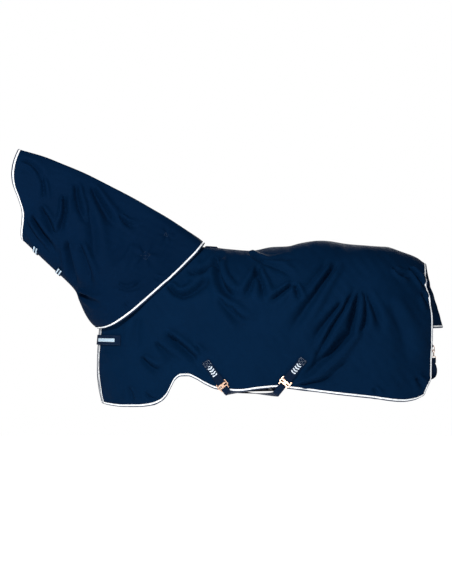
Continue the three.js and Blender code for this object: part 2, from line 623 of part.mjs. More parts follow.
// One belly strap, from its T hook on the near side to the far plate's lower bar.
function addBellyStrap(near, far, name, sag) {
  const { low, step } = stack;
  const plateHeight = low + step;
  const hookHeight = plateHeight + plate.thick + 1;
  const hookFoot = plate.tall + 12;
  add(bellyStraps, `tee_hook_${name}`, framed(teeHook(), near, hookFoot, hookHeight, plate.thick), brass);
  const nearBar = hookFoot - hook.bar / 2;
  const farBar = plate.tall - plate.bar;
  const start = [near.point(nearBar + 16, hookHeight - step)]
    .concat(foldBack(near, nearBar, hookHeight, step), [near.point(nearBar + 14, hookHeight + step * 0.9)]);
  const finish = [far.point(farBar + 14, plateHeight + step * 0.9)]
    .concat(foldBack(far, farBar, plateHeight, step).reverse(), [far.point(farBar + 16, plateHeight - step)]);
  const turnIn = (frame, bar) => Math.max(bar + 24, (frame.point(0, 0).z - down(underHem)) / -frame.d.z);
  const [nearTurn, farTurn] = [turnIn(near, nearBar), turnIn(far, farBar)];
  start.push(near.point(nearTurn - 8, hookHeight + 1));
  finish.unshift(far.point(farTurn - 8, plateHeight + 1));
  const belly = bellyLine(near.point(nearTurn + 2, hookHeight - 6), far.point(farTurn + 2, plateHeight - 6), sag);
  const path = [...start, ...belly, ...finish];
  const across = (_, i) => {
    const share = clamp01((i - start.length + 1) / (belly.length + 1));
    return near.w.clone().lerp(far.w.clone().negate(), share);
  };
  add(bellyStraps, `belly_strap_${name}`, ribbon(path, across, webbing.belly, webbing.thick), navyWebbing);
}
const foldBack = (frame, s, h, radius) => steps(-90, 6, 90).map((deg) => {
  const turn = (deg * Math.PI) / 180;
  return frame.point(s - Math.cos(turn) * (radius + foldReach), h + Math.sin(turn) * radius);
});
function bellyLine(from, to, sag) {
  const depth = down(underHem - 6) - (from.z + to.z) / 2;
  return steps(0.05, 16, 0.95).map((t) => {
    const turn = t * Math.PI;
    const p = from.clone().lerp(to, (1 - Math.cos(turn)) / 2);
    p.z += (depth - sag) * Math.sin(turn) ** 0.6;
    return p;
  });
}

// Tail flap: hangs from the tail head, behind the rear edges.
const flapLine = through([[-460, 1361], [-439, 1358], [-285, 1315], [-182, 1279], [-86, 1266.7]]
  .map(([z, x]) => [down(z), along(x)]));
const tailFlap = { top: -86, foot: -446, topHalf: 60, footHalf: 118, bow: 58, thick: 4 };
function tailPoint(u, v) {
  const half = across(mix(tailFlap.topHalf, tailFlap.footHalf, v ** 0.7));
  const y = half * u;
  const croup = across(200);
  const arc = down(325) * (1 - Math.sqrt(1 - (y / croup) ** 2)) * (1 - smooth(3 * v));
  const z = down(mix(tailFlap.top, tailFlap.foot, v)) - arc;
  return new THREE.Vector3(flapLine(z + arc) - tailFlap.bow * u * u * smooth((v - 0.2) / 0.8), y, z);
}
function addTailFlap() {
  const levels = steps(0, 7, 1 - (1 - edgeShare) * 3, 1, 1);
  const grid = gridOf((v, u) => tailPoint(u, v), levels, steps(-1, 8, 1), () => new THREE.Vector3(1, 0, 0.3));
  add(tail, "tail_flap", sheet(grid, 0, -tailFlap.thick), navy);
  add(tail, "tail_flap_binding", edgeBinding(edgeOf(grid.at(-1), grid.at(-2)), tailFlap.thick), whitePiping);
}

// Leg straps: a webbing tab inside each rear edge holds a D ring, and the strap hangs from it by a snap.
const legStrap = { tabTop: 34, tabDrop: 60, bar: [-12, -558], wire: 1.8, eye: 9 };
function legFrame(side) {
  const z = down(legStrap.bar[1]);
  const edge = bodyAt(side, 2, z);
  const back = edge.clone().sub(bodyAt(side, 1.97, z)).normalize();
  const out = back.clone().cross(new THREE.Vector3(0, 0, 1)).normalize();
  if (out.y * side < 0) out.negate();
  // e back from the rear edge, h outwards from the rug's face, z up from the bar.
  return (e, h, rise) => edge.clone().addScaledVector(back, e).addScaledVector(out, h)
    .add(new THREE.Vector3(0, 0, rise));
}
function addLegStrap(side) {
  const at = legFrame(side);
  const inside = -bodyThickness - binding.gap - binding.wall - webbing.gap - webbing.thick / 2;
  const loop = legStrap.wire + ring.clearance + webbing.thick / 2;
  const [e0, z0] = [-legStrap.tabTop, legStrap.tabDrop];
  const eBar = -legStrap.bar[0];
  const length = Math.hypot(eBar - e0, z0);
  const dir = [(eBar - e0) / length, -z0 / length];
  const place = (s, h) => at(eBar + dir[0] * s, h, dir[1] * s);
  const hBar = inside - loop;
  const fold = steps(90, 8, -90).map((deg) => {
    const turn = (deg * Math.PI) / 180;
    return place(Math.cos(turn) * loop, hBar + Math.sin(turn) * loop);
  });
  const across = place(1, 0).sub(place(0, 0)).cross(at(0, 1, 0).sub(at(0, 0, 0))).normalize();
  const tab = [place(-length, inside), place(-length / 2, inside), ...fold, place(-26, hBar - loop)];
  const name = sideName(side);
  add(rugGroup, `leg_ring_tab_${name}`, ribbon(tab, () => across, webbing.narrow, webbing.thick), navyWebbing);
  addRingAndStrap(side, at, place, across, hBar);
}
// The D ring, the snap on it and the strap's long loop.
function addRingAndStrap(side, at, place, across, hBar) {
  const name = sideName(side);
  const half = ring.inside / 2 - 2;
  const plane = at(0, 1, 0).sub(at(0, 0, 0)).normalize();
  const bow = steps(180, 10, 0).map((deg) => {
    const turn = (deg * Math.PI) / 180;
    return place(4 + Math.sin(turn) * ring.reach, hBar).addScaledVector(across, Math.cos(turn) * half);
  });
  const bar = [half, half / 2, 0, -half / 2, -half].map((w) => place(0, hBar).addScaledVector(across, w));
  add(legStraps, `leg_ring_${name}`, loopBar([...bar, ...bow], plane, legStrap.wire), brass);
  const foot = place(4 + ring.reach, hBar);
  const snap = snapAt(foot, plane);
  add(legStraps, `leg_snap_${name}`, snap, brass);
  const barZ = snapSize.length;
  const strapAt = (e, rise) => foot.clone().add(at(e, 0, rise).sub(at(0, 0, 0)));
  const radius = legStrap.wire + ring.clearance + webbing.thick / 2;
  const fold = steps(-90, 8, 90).map((deg) => {
    const turn = (deg * Math.PI) / 180;
    return strapAt(0, -barZ + Math.cos(turn) * radius).addScaledVector(plane, Math.sin(turn) * radius);
  });
  const hang = [[0, -26, -1], [14, -60, -1.4], [10, -96, -3], [-22, -118, -5], [-80, -120, -6]]
    .map(([e, rise, out]) => strapAt(e, rise - barZ).addScaledVector(plane, out * radius));
  const drop = new THREE.CatmullRomCurve3(hang).getSpacedPoints(16);
  const tail = [strapAt(0, -24 - barZ).addScaledVector(plane, radius)];
  const backward = at(1, 0, 0).sub(at(0, 0, 0));
  const path = [...tail, ...fold.reverse(), ...drop];
  // The strap makes a quarter turn on its way down, so that its end lies flat.
  const turned = (_, i) => backward.clone().lerp(plane, smooth((i - fold.length - 1) / (drop.length - 1)));
  add(legStraps, `leg_strap_${name}`, ribbon(path, turned, webbing.narrow, webbing.thick), navyWebbing);
}
// A snap: an eye round the ring's bow, a shank, and a bar for the strap.
const snapSize = { length: 46, half: webbing.narrow / 2 + 2.5 };
function snapAt(centre, plane) {
  const wire = legStrap.wire;
  const downwards = new THREE.Vector3(0, 0, -1);
  const alongBar = plane.clone().cross(downwards).normalize();
  const spot = (n, a, d) => centre.clone().addScaledVector(plane, n).addScaledVector(alongBar, a)
    .addScaledVector(downwards, d);
  const eyeDrop = legStrap.eye - 2 * wire - 3.5 * ring.clearance;
  const eye = Array.from({ length: 12 }, (_, k) => {
    const turn = (2 * Math.PI * k) / 12;
    return spot(Math.sin(turn) * legStrap.eye, 0, Math.cos(turn) * legStrap.eye + eyeDrop);
  });
  const top = legStrap.eye + eyeDrop;
  const [w, l] = [snapSize.half, snapSize.length];
  const frame = [[-w, l], [0, l], [w, l], [w, l - 9], [w - 4, l - 13], [0, l - 14], [4 - w, l - 13], [-w, l - 9]]
    .map(([a, d]) => spot(0, a, d));
  const shank = skin([top - 1.5, l - 13].map((d) => Array.from({ length: 8 }, (_, k) => {
    const turn = (2 * Math.PI * k) / 8;
    return spot(Math.cos(turn) * 3.2, Math.sin(turn) * 3.2, d);
  })));
  const pieces = [loopBar(eye, alongBar, wire), loopBar(frame, plane, wire), shank].map(solidOf);
  return geometryOf(pieces[0].add(pieces[1]).add(pieces[2]));
}

addBodyPanels();
addBodyBindings();
addTailFlap();
[-1, 1].forEach(addLegStrap);
addNeckCover();
addChestStrap();
addSurcingles();

const turnoutRug = new THREE.Group();
turnoutRug.add(rugGroup, chestFlap, neckCover, bellyStraps, tail, legStraps);
export default turnoutRug;
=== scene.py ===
import json
import math

import bmesh
import bpy
import numpy as np
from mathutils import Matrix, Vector

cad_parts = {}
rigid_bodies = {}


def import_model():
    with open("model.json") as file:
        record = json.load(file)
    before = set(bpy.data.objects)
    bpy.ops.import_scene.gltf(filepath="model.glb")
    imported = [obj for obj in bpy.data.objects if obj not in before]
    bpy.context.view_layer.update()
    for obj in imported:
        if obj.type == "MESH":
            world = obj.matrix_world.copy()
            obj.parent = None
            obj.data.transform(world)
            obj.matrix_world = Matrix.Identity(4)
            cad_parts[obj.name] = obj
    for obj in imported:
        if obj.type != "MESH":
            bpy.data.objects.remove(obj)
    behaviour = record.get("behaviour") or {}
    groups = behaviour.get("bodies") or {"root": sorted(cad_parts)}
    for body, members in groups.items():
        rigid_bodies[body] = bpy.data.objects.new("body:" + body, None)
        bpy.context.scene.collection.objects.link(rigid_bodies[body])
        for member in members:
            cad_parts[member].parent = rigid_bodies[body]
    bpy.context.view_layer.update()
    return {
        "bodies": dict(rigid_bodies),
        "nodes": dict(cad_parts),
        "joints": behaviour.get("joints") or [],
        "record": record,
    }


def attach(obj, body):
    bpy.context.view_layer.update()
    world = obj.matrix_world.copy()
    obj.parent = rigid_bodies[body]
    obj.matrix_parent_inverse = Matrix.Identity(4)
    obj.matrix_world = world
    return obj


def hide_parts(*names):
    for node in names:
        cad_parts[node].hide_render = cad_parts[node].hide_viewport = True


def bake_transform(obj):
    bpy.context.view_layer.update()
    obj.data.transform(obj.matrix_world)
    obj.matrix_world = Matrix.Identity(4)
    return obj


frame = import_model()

# Lengths here are millimetres on the rug, as it was cut, and are turned to metres as a mesh is made.
MM = 0.001
PI = math.pi


# ---------------------------------------------------------------- the rug's shape
def through(points):
    """A smooth function of the first coordinate through the points, with no overshoot."""
    xs, ys = (np.array(c, float) for c in zip(*sorted(points)))
    slope = np.diff(ys) / np.diff(xs)
    bend = np.empty(len(xs))
    bend[0], bend[-1] = slope[0], slope[-1]
    a, b = slope[:-1], slope[1:]
    bend[1:-1] = np.where(a * b > 0, 2 * a * b / np.where(a + b == 0, 1, a + b), 0)

    def value(x):
        x = np.asarray(x, float)
        i = np.clip(np.searchsorted(xs, x, side="right") - 1, 0, len(xs) - 2)
        w = xs[i + 1] - xs[i]
        t = (x - xs[i]) / w
        inside = (
            ys[i] + (ys[i + 1] - ys[i]) * t * t * (3 - 2 * t)
            + w * t * (1 - t) * ((1 - t) * bend[i] - t * bend[i + 1])
        )
        below = ys[0] + bend[0] * (x - xs[0])
        above = ys[-1] + bend[-1] * (x - xs[-1])
        return np.where(x <= xs[0], below, np.where(x >= xs[-1], above, inside))

    return value


def smooth(v):
    v = np.clip(v, 0, 1)
    return v * v * (3 - 2 * v)


def mix(a, b, t):
    return a + (b - a) * t


CHEST_DEPTH = 360
LIFT = 11
BACK = [(3, 9), (125, 1), (268, -10), (382, 6), (485, 15), (553, 32), (655, 46), (809, 29), (929, 18),
        (1032, 14), (1134, -20), (1203, -48), (1262, -85)]
crest = through([(-1046, 559), (-815, 481), (-542, 356), (-302, 226), (-97, 91), (-29, 40)] + BACK)
panel_top = through([(-592, -412), (-540, -368), (-465, -300), (-382, -228), (-298, -152), (-214, -75),
                     (-90, -12), (-22, 8)] + BACK)
hem = through([(-600, -868), (-550, -881), (-460, -889), (-360, -887), (-285, -877), (-235, -855),
               (-203, -822),
               (-180, -776), (-158, -736), (-125, -714), (-85, -713), (-40, -730), (10, -759), (75, -786),
               (195, -800), (308, -786), (420, -777), (507, -786), (780, -820), (930, -836), (1123, -858),
               (1185, -850), (1245, -825)])
breast = through([(-900, -572), (-860, -585), (-790, -600), (-700, -608), (-620, -607), (-460, -596)])
rump = through([(-830, 1240), (-767, 1266), (-727, 1284), (-590, 1286), (-500, 1290), (-395, 1290),
                (-310, 1280),
                (-185, 1256), (-85, 1262)])
widest_level = through([(-1050, 260), (-850, 140), (-730, 20), (-600, -320), (-400, -500), (-200, -520),
                        (0, -430),
                        (200, -370), (500, -340), (900, -330), (1300, -420)])
widest = through([(-1100, 100), (-900, 105), (-750, 125), (-600, 200), (-450, 244), (-300, 258), (-150, 268),
                  (0, 280), (150, 300), (300, 320), (500, 320), (700, 308), (850, 305), (950, 300),
                  (1050, 285),
                  (1150, 252), (1230, 212), (1300, 165)])
flatness = through([(-1000, 0.2), (-750, 0.35), (-500, 0.7), (-200, 0.75), (0, 0.4), (150, 0), (1300, 0)])


def crown(x, z, lift):
    top = crest(x) + lift
    t = (top - z) / (top - widest_level(x))
    c = np.clip(t, 0, 1)
    round_part = mix(np.sqrt(1 - (1 - c) ** 2), smooth(c), flatness(x))
    return widest(x) * np.where(t >= 1, 1 - 0.05 * (t - 1), round_part)


def station_x(q, z):
    front = breast(z) + CHEST_DEPTH * (1 - np.cos(q * PI / 2))
    return np.where(q < 1, front, mix(breast(z) + CHEST_DEPTH, rump(z), q - 1))


def station_at(x, z):
    behind = (x - breast(z) - CHEST_DEPTH) / (rump(z) - breast(z) - CHEST_DEPTH)
    front = np.arccos(np.clip(1 - (x - breast(z)) / CHEST_DEPTH, -1, 1)) * 2 / PI
    return np.where(behind >= 0, 1 + behind, front)


def body_at(side, q, z):
    x = station_x(q, z)
    y = crown(x, z, 0) * np.where(q < 1, np.sin(np.minimum(q, 1) * PI / 2), 1)
    return np.stack([x, side * y, z], -1)


def meet(edge, q):
    z = edge(mix(0, 600, q - 1))
    for _ in range(8):
        z = edge(station_x(q, z))
    return z


def spline(points):
    """A uniform Catmull-Rom curve through the points, by its share of arc length."""
    p = np.array(points, float)
    n = len(p) - 1
    t = np.linspace(0, n, 60 * n + 1)
    i = np.minimum(t.astype(int), n - 1)
    w = (t - i)[:, None]
    p0, p1 = p[np.maximum(i - 1, 0)], p[i]
    p2, p3 = p[i + 1], p[np.minimum(i + 2, n)]
    v0, v1 = (p2 - p0) / 2, (p3 - p1) / 2
    c = (2 * p1 - 2 * p2 + v0 + v1) * w**3 + (-3 * p1 + 3 * p2 - 2 * v0 - v1) * w**2 + v0 * w + p1
    s = np.concatenate([[0], np.cumsum(np.linalg.norm(np.diff(c, axis=0), axis=1))])
    s /= s[-1]
    return lambda a: np.stack([np.interp(a, s, c[:, 0]), np.interp(a, s, c[:, 1])], -1)


THROAT = [(-1034, 52), (-958, -20), (-861, -111), (-781, -185), (-730, -242), (-707, -299), (-673, -373),
          (-640, -422), (-606, -452)]
mane = spline([(-1052, 566), (-918, 528), (-815, 488), (-678, 431), (-542, 363), (-405, 292), (-302, 233),
               (-200, 173), (-97, 106), (-29, 61), (4, 34)])
throat = spline(THROAT)
face_edge = spline([(-1052, 566), (-1076, 491), (-1084, 421), (-1075, 357), (-1047, 283), (-1027, 212),
                    (-1028, 154), (-1036, 90), (-1034, 52)])
shoulder_edge = spline([(4, 34), (-34, -18), (-80, -67), (-154, -141), (-238, -217), (-322, -292),
                        (-405, -363),
                        (-490, -421), (-553, -447), (-606, -452)])
cover_front = through([(-900, -620)] + [(z, x) for x, z in THROAT])
SPLIT = 0.62


def cover_at(side, a, beta):
    b = (1 - np.cos(PI * beta)) / 2
    m, t, f, e = mane(a), throat(a), face_edge(b), shoulder_edge(b)
    m0, m1, t0, t1 = mane(0.0), mane(1.0), throat(0.0), throat(1.0)
    xz = []
    for k in (0, 1):
        corner = (1 - a) * (1 - b) * m0[k] + (1 - a) * b * t0[k] + a * (1 - b) * m1[k] + a * b * t1[k]
        xz.append(mix(m[..., k], t[..., k], b) + mix(f[..., k], e[..., k], a) - corner)
    x, z = xz
    front = (cover_front(t[..., 1]) - t[..., 0]) * b**4
    rounding = np.clip((x + front - cover_front(z)) / CHEST_DEPTH, 0, 1)
    over_rug = LIFT * smooth((a - SPLIT) / 0.2) * smooth(18 * b)
    seam = (crest(m[..., 0]) + LIFT - m[..., 1]) * (1 - b) ** 4
    y = crown(x, z + seam, LIFT) * np.sqrt(1 - (1 - rounding) ** 2) + over_rug + 4 * smooth(b * 3 - 2)
    return np.stack([x, side * y, z], -1)


# ---------------------------------------------------------------- folds
def along_line(x, z, line):
    """Signed distance from the polyline, and the share of its length at the nearest point."""
    p = np.array(line, float)
    total = np.linalg.norm(np.diff(p, axis=0), axis=1)
    start = np.concatenate([[0], np.cumsum(total)])
    best = np.full(x.shape, 1e9)
    signed, share = np.zeros(x.shape), np.zeros(x.shape)
    for i in range(len(p) - 1):
        d = (p[i + 1] - p[i]) / total[i]
        s = np.clip((x - p[i][0]) * d[0] + (z - p[i][1]) * d[1], 0, total[i])
        dx, dz = x - p[i][0] - s * d[0], z - p[i][1] - s * d[1]
        dist = np.hypot(dx, dz)
        near = dist < best
        best = np.where(near, dist, best)
        signed = np.where(near, np.sign(d[0] * dz - d[1] * dx) * dist, signed)
        share = np.where(near, (start[i] + s) / start[-1], share)
    return signed, share


def fold(x, z, line, width, depth, lean=1):
    """A pleat from where the cloth is held: a valley and a ridge, wider and softer as they run on."""
    curve = spline(line)(np.linspace(0, 1, 9))
    s, t = along_line(x, z, curve)
    s = s * lean / (width * SHARP * mix(0.7, 1.45, t))
    ends = smooth(t * 5 + 0.05) * smooth((1 - t) * 2.4) * np.exp(-np.clip(np.abs(s) - 2.4, 0, None) ** 2)
    valley = np.exp(-np.sqrt(s * s + 0.06) * 1.7) * 1.4
    ridge = 0.8 * np.exp(-(((s - 1.35) / 0.9) ** 2)) + 0.3 * np.exp(-(((s + 1.7) / 1.1) ** 2))
    return DEEP * depth * ends * (ridge - valley)


def ripple(x, z, seed, size, waves=7):
    rng = np.random.default_rng(seed)
    total = np.zeros(x.shape)
    for _ in range(waves):
        turn, phase = rng.uniform(0, PI), rng.uniform(0, 2 * PI)
        k = 2 * PI / (size * rng.uniform(0.6, 1.6))
        along = x * math.cos(turn) + z * math.sin(turn)
        total += np.sin(k * along + phase + 1.3 * np.sin(z / size / 1.7 + phase))
    return total / math.sqrt(waves / 2)


SHARP, DEEP = 1.0, 3.7
BODY_FOLDS = [
    ([(80, -21), (51, -93), (-20, -142), (-113, -110)], 18, 11, 1),
    ([(-220, -181), (-134, -266), (-48, -238), (80, -135)], 20, 9, 1),
    ([(105, -28), (83, -121), (117, -221), (194, -286)], 22, 13, 1),
    ([(74, -264), (151, -363), (236, -442)], 26, 8, 1),
    ([(-227, -463), (-134, -537), (-20, -641), (60, -720)], 22, 10, 1),
    ([(-276, -520), (-205, -591), (-134, -648)], 20, 6, 1),
    ([(-355, -606), (-291, -665), (-212, -698)], 22, 9, 1),
    ([(-56, -537), (-6, -591), (37, -634)], 14, 5, 1),
    ([(-351, -378), (-376, -463), (-362, -577)], 34, 5, -1),
    ([(-425, -777), (-402, -826), (-398, -876)], 16, 5, 1),
    ([(-334, -805), (-276, -848), (-220, -856)], 14, 4, 1),
    ([(66, -57), (80, -135), (111, -221), (185, -295)], 24, 12, 1),
    ([(322, -93), (272, -192), (236, -264), (191, -295)], 20, 8, -1),
    ([(291, -100), (329, -207), (345, -309)], 20, 9, 1),
    ([(507, -195), (410, -271), (350, -318)], 16, 8, -1),
    ([(510, -199), (529, -256), (539, -306)], 16, 7, 1),
    ([(137, -306), (194, -378), (265, -449)], 26, 6, 1),
    ([(251, -21), (315, -61), (379, -110)], 13, 6, 1),
    ([(301, -53), (408, -70), (529, -47)], 11, 5, -1),
    ([(336, -73), (464, -133), (507, -181)], 18, 4, 1),
    ([(767, -67), (664, -199), (586, -321), (507, -435), (464, -520)], 28, 13, 1),
    ([(707, -64), (636, -150), (557, -249), (536, -306)], 24, 7, 1),
    ([(789, -278), (735, -349), (650, -463), (593, -577)], 20, 11, 1),
    ([(856, -214), (792, -328), (721, -435), (636, -606), (578, -691)], 20, 11, 1),
    ([(881, -224), (838, -349), (835, -449), (750, -549), (607, -677), (507, -755)], 26, 17, 1),
    ([(892, -229), (906, -321), (895, -420), (835, -520)], 18, 10, -1),
    ([(909, -235), (949, -335), (1012, -477)], 22, 8, -1),
    ([(1066, -104), (1109, -147), (1170, -158)], 12, 7, -1),
    ([(1157, -110), (1208, -161), (1265, -232)], 10, 17, 1),
    ([(1228, -242), (1260, -292), (1288, -363)], 15, 8, 1),
    ([(507, -779), (607, -751), (707, -720), (792, -663)], 20, 8, 1),
    ([(636, -720), (750, -663), (864, -606)], 26, 5, 1),
    ([(1034, -278), (1120, -492), (1163, -720)], 50, 6, 1),
    ([(949, -777), (970, -812), (978, -841)], 14, 4, 1),
    ([(1191, -720), (1227, -762), (1248, -805)], 16, 5, 1),
]
COVER_FOLDS = [
    ([(-725, 378), (-715, 292), (-687, 192), (-650, 121)], 20, 9, 1),
    ([(-640, 366), (-593, 278), (-544, 192), (-483, 93)], 24, 11, 1),
    ([(-790, 314), (-785, 207), (-807, 121), (-827, 36)], 16, 8, -1),
    ([(-982, 192), (-918, 93), (-866, 21), (-827, -47)], 20, 13, 1),
    ([(-932, 247), (-889, 178), (-852, 93), (-835, 21)], 18, 7, 1),
    ([(-778, 47), (-758, -36), (-738, -121), (-718, -221)], 20, 14, 1),
    ([(-704, 38), (-673, -50), (-647, -135), (-630, -235)], 22, 9, 1),
    ([(-1010, 164), (-960, 78), (-896, -7), (-852, -64)], 18, 7, 1),
    ([(-1043, 500), (-989, 489), (-932, 435), (-909, 363)], 16, 5, -1),
    ([(-915, 406), (-904, 335), (-906, 264)], 14, 5, 1),
    ([(-483, 192), (-433, 143), (-362, 118)], 14, 6, 1),
    ([(-493, -195), (-453, -227), (-390, -227), (-331, -178)], 11, 7, 1),
    ([(-448, -309), (-419, -338), (-385, -343)], 10, 5, 1),
    ([(-727, -244), (-647, -284), (-573, -326)], 15, 12, 1),
    ([(-661, 264), (-633, 150), (-616, 21), (-624, -121)], 32, 6, 1),
    ([(-419, 50), (-462, -21), (-519, -93)], 28, 4, 1),
    ([(-284, -157), (-220, -181), (-148, -157)], 12, 5, 1),
]
TACKS = [(-330, -42, 1.0), (-207, 78, 0.55)]
ANCHORS = {"front": [(12, -634), (98, -752)], "rear": [(563, -620), (470, -735)]}


def tack_puckers(x, z):
    total = np.zeros(x.shape)
    for cx, cz, size in TACKS:
        r, turn = np.hypot(x - cx, z - cz), np.arctan2(z - cz, x - cx)
        rays = np.cos(2 * turn + 0.2) * 0.7 + np.cos(5 * turn + 0.6)
        reach = 62 * size
        pleats = 20 * rays * (r / reach) * np.exp(-((r / reach) ** 2) * 1.6)
        dent = 5 * np.exp(-((r / 22) ** 2))
        swell = 2.5 * np.exp(-((r / 70) ** 2))
        total += size * (pleats - dent + swell)
    return total


def shifted(x, z, side):
    """The far side's folds are the near side's kind, in other places."""
    if side < 0:
        return x, z
    return x + 26 * np.sin(z / 210 + 1) + 18, z + 30 * np.sin(x / 260) - 12


def edge_distance(x, z):
    """How far below the cover's shoulder edge a place on the rug is."""
    line = shoulder_edge(np.linspace(0, 1, 40))
    s, _ = along_line(x, z, line[::-1])
    return s


def hardware_mask(x, z):
    keep = np.ones(x.shape)
    for line in ANCHORS.values():
        (x0, z0), (x1, z1) = line
        far = (x1 + (x1 - x0) * 0.6, z1 + (z1 - z0) * 0.6)
        s, _ = along_line(x, z, [(x0, z0), far])
        keep = keep * smooth((np.abs(s) - 34) / 40)
    return keep


def body_relief(x, y, z, side):
    fx, fz = shifted(x, z, side)
    total = sum(fold(fx, fz, line, w, d, lean) for line, w, d, lean in BODY_FOLDS)
    total = total * (1 if side < 0 else 0.8)
    total = total + 1.5 * ripple(fx, fz, 11, 150) + 0.7 * ripple(fx, fz, 12, 62)
    spine = smooth(np.abs(y) / 70)
    total = total * spine + (1 - spine) * 1.4 * ripple(x, z * 0, 13, 170)
    covered = smooth((edge_distance(x, z) * -1 - 8) / 30)
    total = total * np.where(x < 30, covered, 1)
    strap = (np.abs(z + 519) < 70) & (x < -440)
    total = np.where(strap, total * 0.15, total)
    hem_fade = smooth((z - hem(x)) / 50) * 0.75 + 0.25
    rear_fade = smooth((rump(z) - x) / 45) * 0.7 + 0.3
    return total * hem_fade * rear_fade * mix(0.02, 1, hardware_mask(x, z))


def cover_relief(x, y, z, side, a, b):
    fx, fz = shifted(x, z, side)
    total = sum(fold(fx, fz, line, w, d, lean) for line, w, d, lean in COVER_FOLDS)
    total = total * (1 if side < 0 else 0.85) + 1.2 * ripple(fx, fz, 21, 130) + 0.6 * ripple(fx, fz, 22, 55)
    total = total + tack_puckers(x, z)
    spine = smooth(np.abs(y) / 55)
    total = total * spine
    near_edge = smooth(a / 0.04) * smooth((1 - a) / 0.09) * smooth((1 - b) / 0.05)
    total = total * mix(0.25, 1, near_edge)
    over_rug = smooth((a - SPLIT) / 0.15)
    return mix(total, np.maximum(total, -3.5) + 0.5, over_rug)


# ---------------------------------------------------------------- meshes
BULGE, HOLLOW = 26, 40


def normals_of(p):
    du = np.gradient(p, axis=0)
    dv = np.gradient(p, axis=1)
    n = np.cross(du, dv)
    return n / np.maximum(np.linalg.norm(n, axis=-1, keepdims=True), 1e-9)


def outward(p, n, inside):
    return np.where(np.sum(n * (p - inside), -1, keepdims=True).mean() < 0, -n, n)


def relieved(p, relief, inside, seam_rows=()):
    """The surface moved out by the relief, which is held softly inside the depth that cloth can stand off."""
    relief = np.where(relief > 0, BULGE * np.tanh(relief / BULGE), HOLLOW * np.tanh(relief / HOLLOW))
    n = outward(p, normals_of(p), inside)
    for row in seam_rows:
        n[:, row, 1] = 0
    n /= np.linalg.norm(n, axis=-1, keepdims=True)
    moved = p + n * relief[..., None]
    n2 = outward(moved, normals_of(moved), inside)
    for row in seam_rows:
        n2[:, row, 1] = 0
    return moved, n2 / np.linalg.norm(n2, axis=-1, keepdims=True)


def finish_mesh(name, verts, faces, uvs, material, body):
    mesh = bpy.data.meshes.new(name)
    mesh.from_pydata((np.asarray(verts) * MM).tolist(), [], faces)
    if uvs is not None:
        layer = mesh.uv_layers.new(name="UVMap")
        loops = np.zeros(len(mesh.loops), int)
        mesh.loops.foreach_get("vertex_index", loops)
        layer.data.foreach_set("uv", np.asarray(uvs, float)[loops].ravel())
    mesh.materials.append(material)
    mesh.validate()
    obj = bpy.data.objects.new(name, mesh)
    bpy.context.scene.collection.objects.link(obj)
    bm = bmesh.new()
    bm.from_mesh(mesh)
    bmesh.ops.recalc_face_normals(bm, faces=bm.faces)
    bm.to_mesh(mesh)
    bm.free()
    mesh.polygons.foreach_set("use_smooth", [True] * len(mesh.polygons))
    mesh.set_sharp_from_angle(angle=math.radians(50))
    if body:
        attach(obj, body)
    return obj


def sheet_mesh(name, p, n, outer, inner, material, body):
    """A closed sheet between two offsets from a grid of points. UVs are metres along the cloth."""
    rows, cols = p.shape[:2]
    verts = np.concatenate([(p + n * outer).reshape(-1, 3), (p + n * inner).reshape(-1, 3)])
    index = np.arange(rows * cols).reshape(rows, cols)
    a, b, c, d = index[:-1, :-1], index[1:, :-1], index[1:, 1:], index[:-1, 1:]
    top = np.stack([a, b, c, d], -1).reshape(-1, 4)
    back = rows * cols
    under = top[:, ::-1] + back
    rim = []
    for line in (index[:, 0], index[::-1, -1], index[-1, :], index[0, ::-1]):
        rim.append(np.stack([line[:-1], line[:-1] + back, line[1:] + back, line[1:]], -1))
    faces = np.concatenate([top, under, *rim]).tolist()
    dv = np.linalg.norm(np.diff(p, axis=1), axis=-1)
    du = np.linalg.norm(np.diff(p, axis=0), axis=-1)
    v = np.concatenate([np.zeros((rows, 1)), np.cumsum(dv, 1)], 1)
    mid = cols // 2
    u = np.concatenate([[0], np.cumsum(du[:, mid])])[:, None] * np.ones((1, cols))
    uv = np.stack([u, v], -1).reshape(-1, 2) * MM
    return finish_mesh(name, verts, faces, np.concatenate([uv, uv]), material, body)


def sweep_mesh(name, sections, material, body, vscale=None, closed=False):
    """A closed sweep of sections: rows of points in order round each section."""
    s = np.asarray(sections, float)
    rows, k = s.shape[:2]
    index = np.arange(rows * k).reshape(rows, k)
    nxt = np.roll(index, -1, axis=1)
    if closed:
        a, b, c, d = index, nxt, np.roll(nxt, -1, 0), np.roll(index, -1, 0)
    else:
        a, b, c, d = index[:-1], nxt[:-1], nxt[1:], index[1:]
    faces = np.stack([a, b, c, d], -1).reshape(-1, 4).tolist()
    if not closed:
        faces += [index[0, ::-1].tolist(), index[-1].tolist()]
    u = np.concatenate([[0], np.cumsum(np.linalg.norm(np.diff(s.mean(1), axis=0), axis=1))])
    around = np.linspace(0, 1, k, endpoint=False) if vscale is None else np.asarray(vscale)
    uv = np.stack(np.broadcast_arrays(u[:, None] * MM, around[None, :]), -1).reshape(-1, 2)
    return finish_mesh(name, s.reshape(-1, 3), faces, uv, material, body)


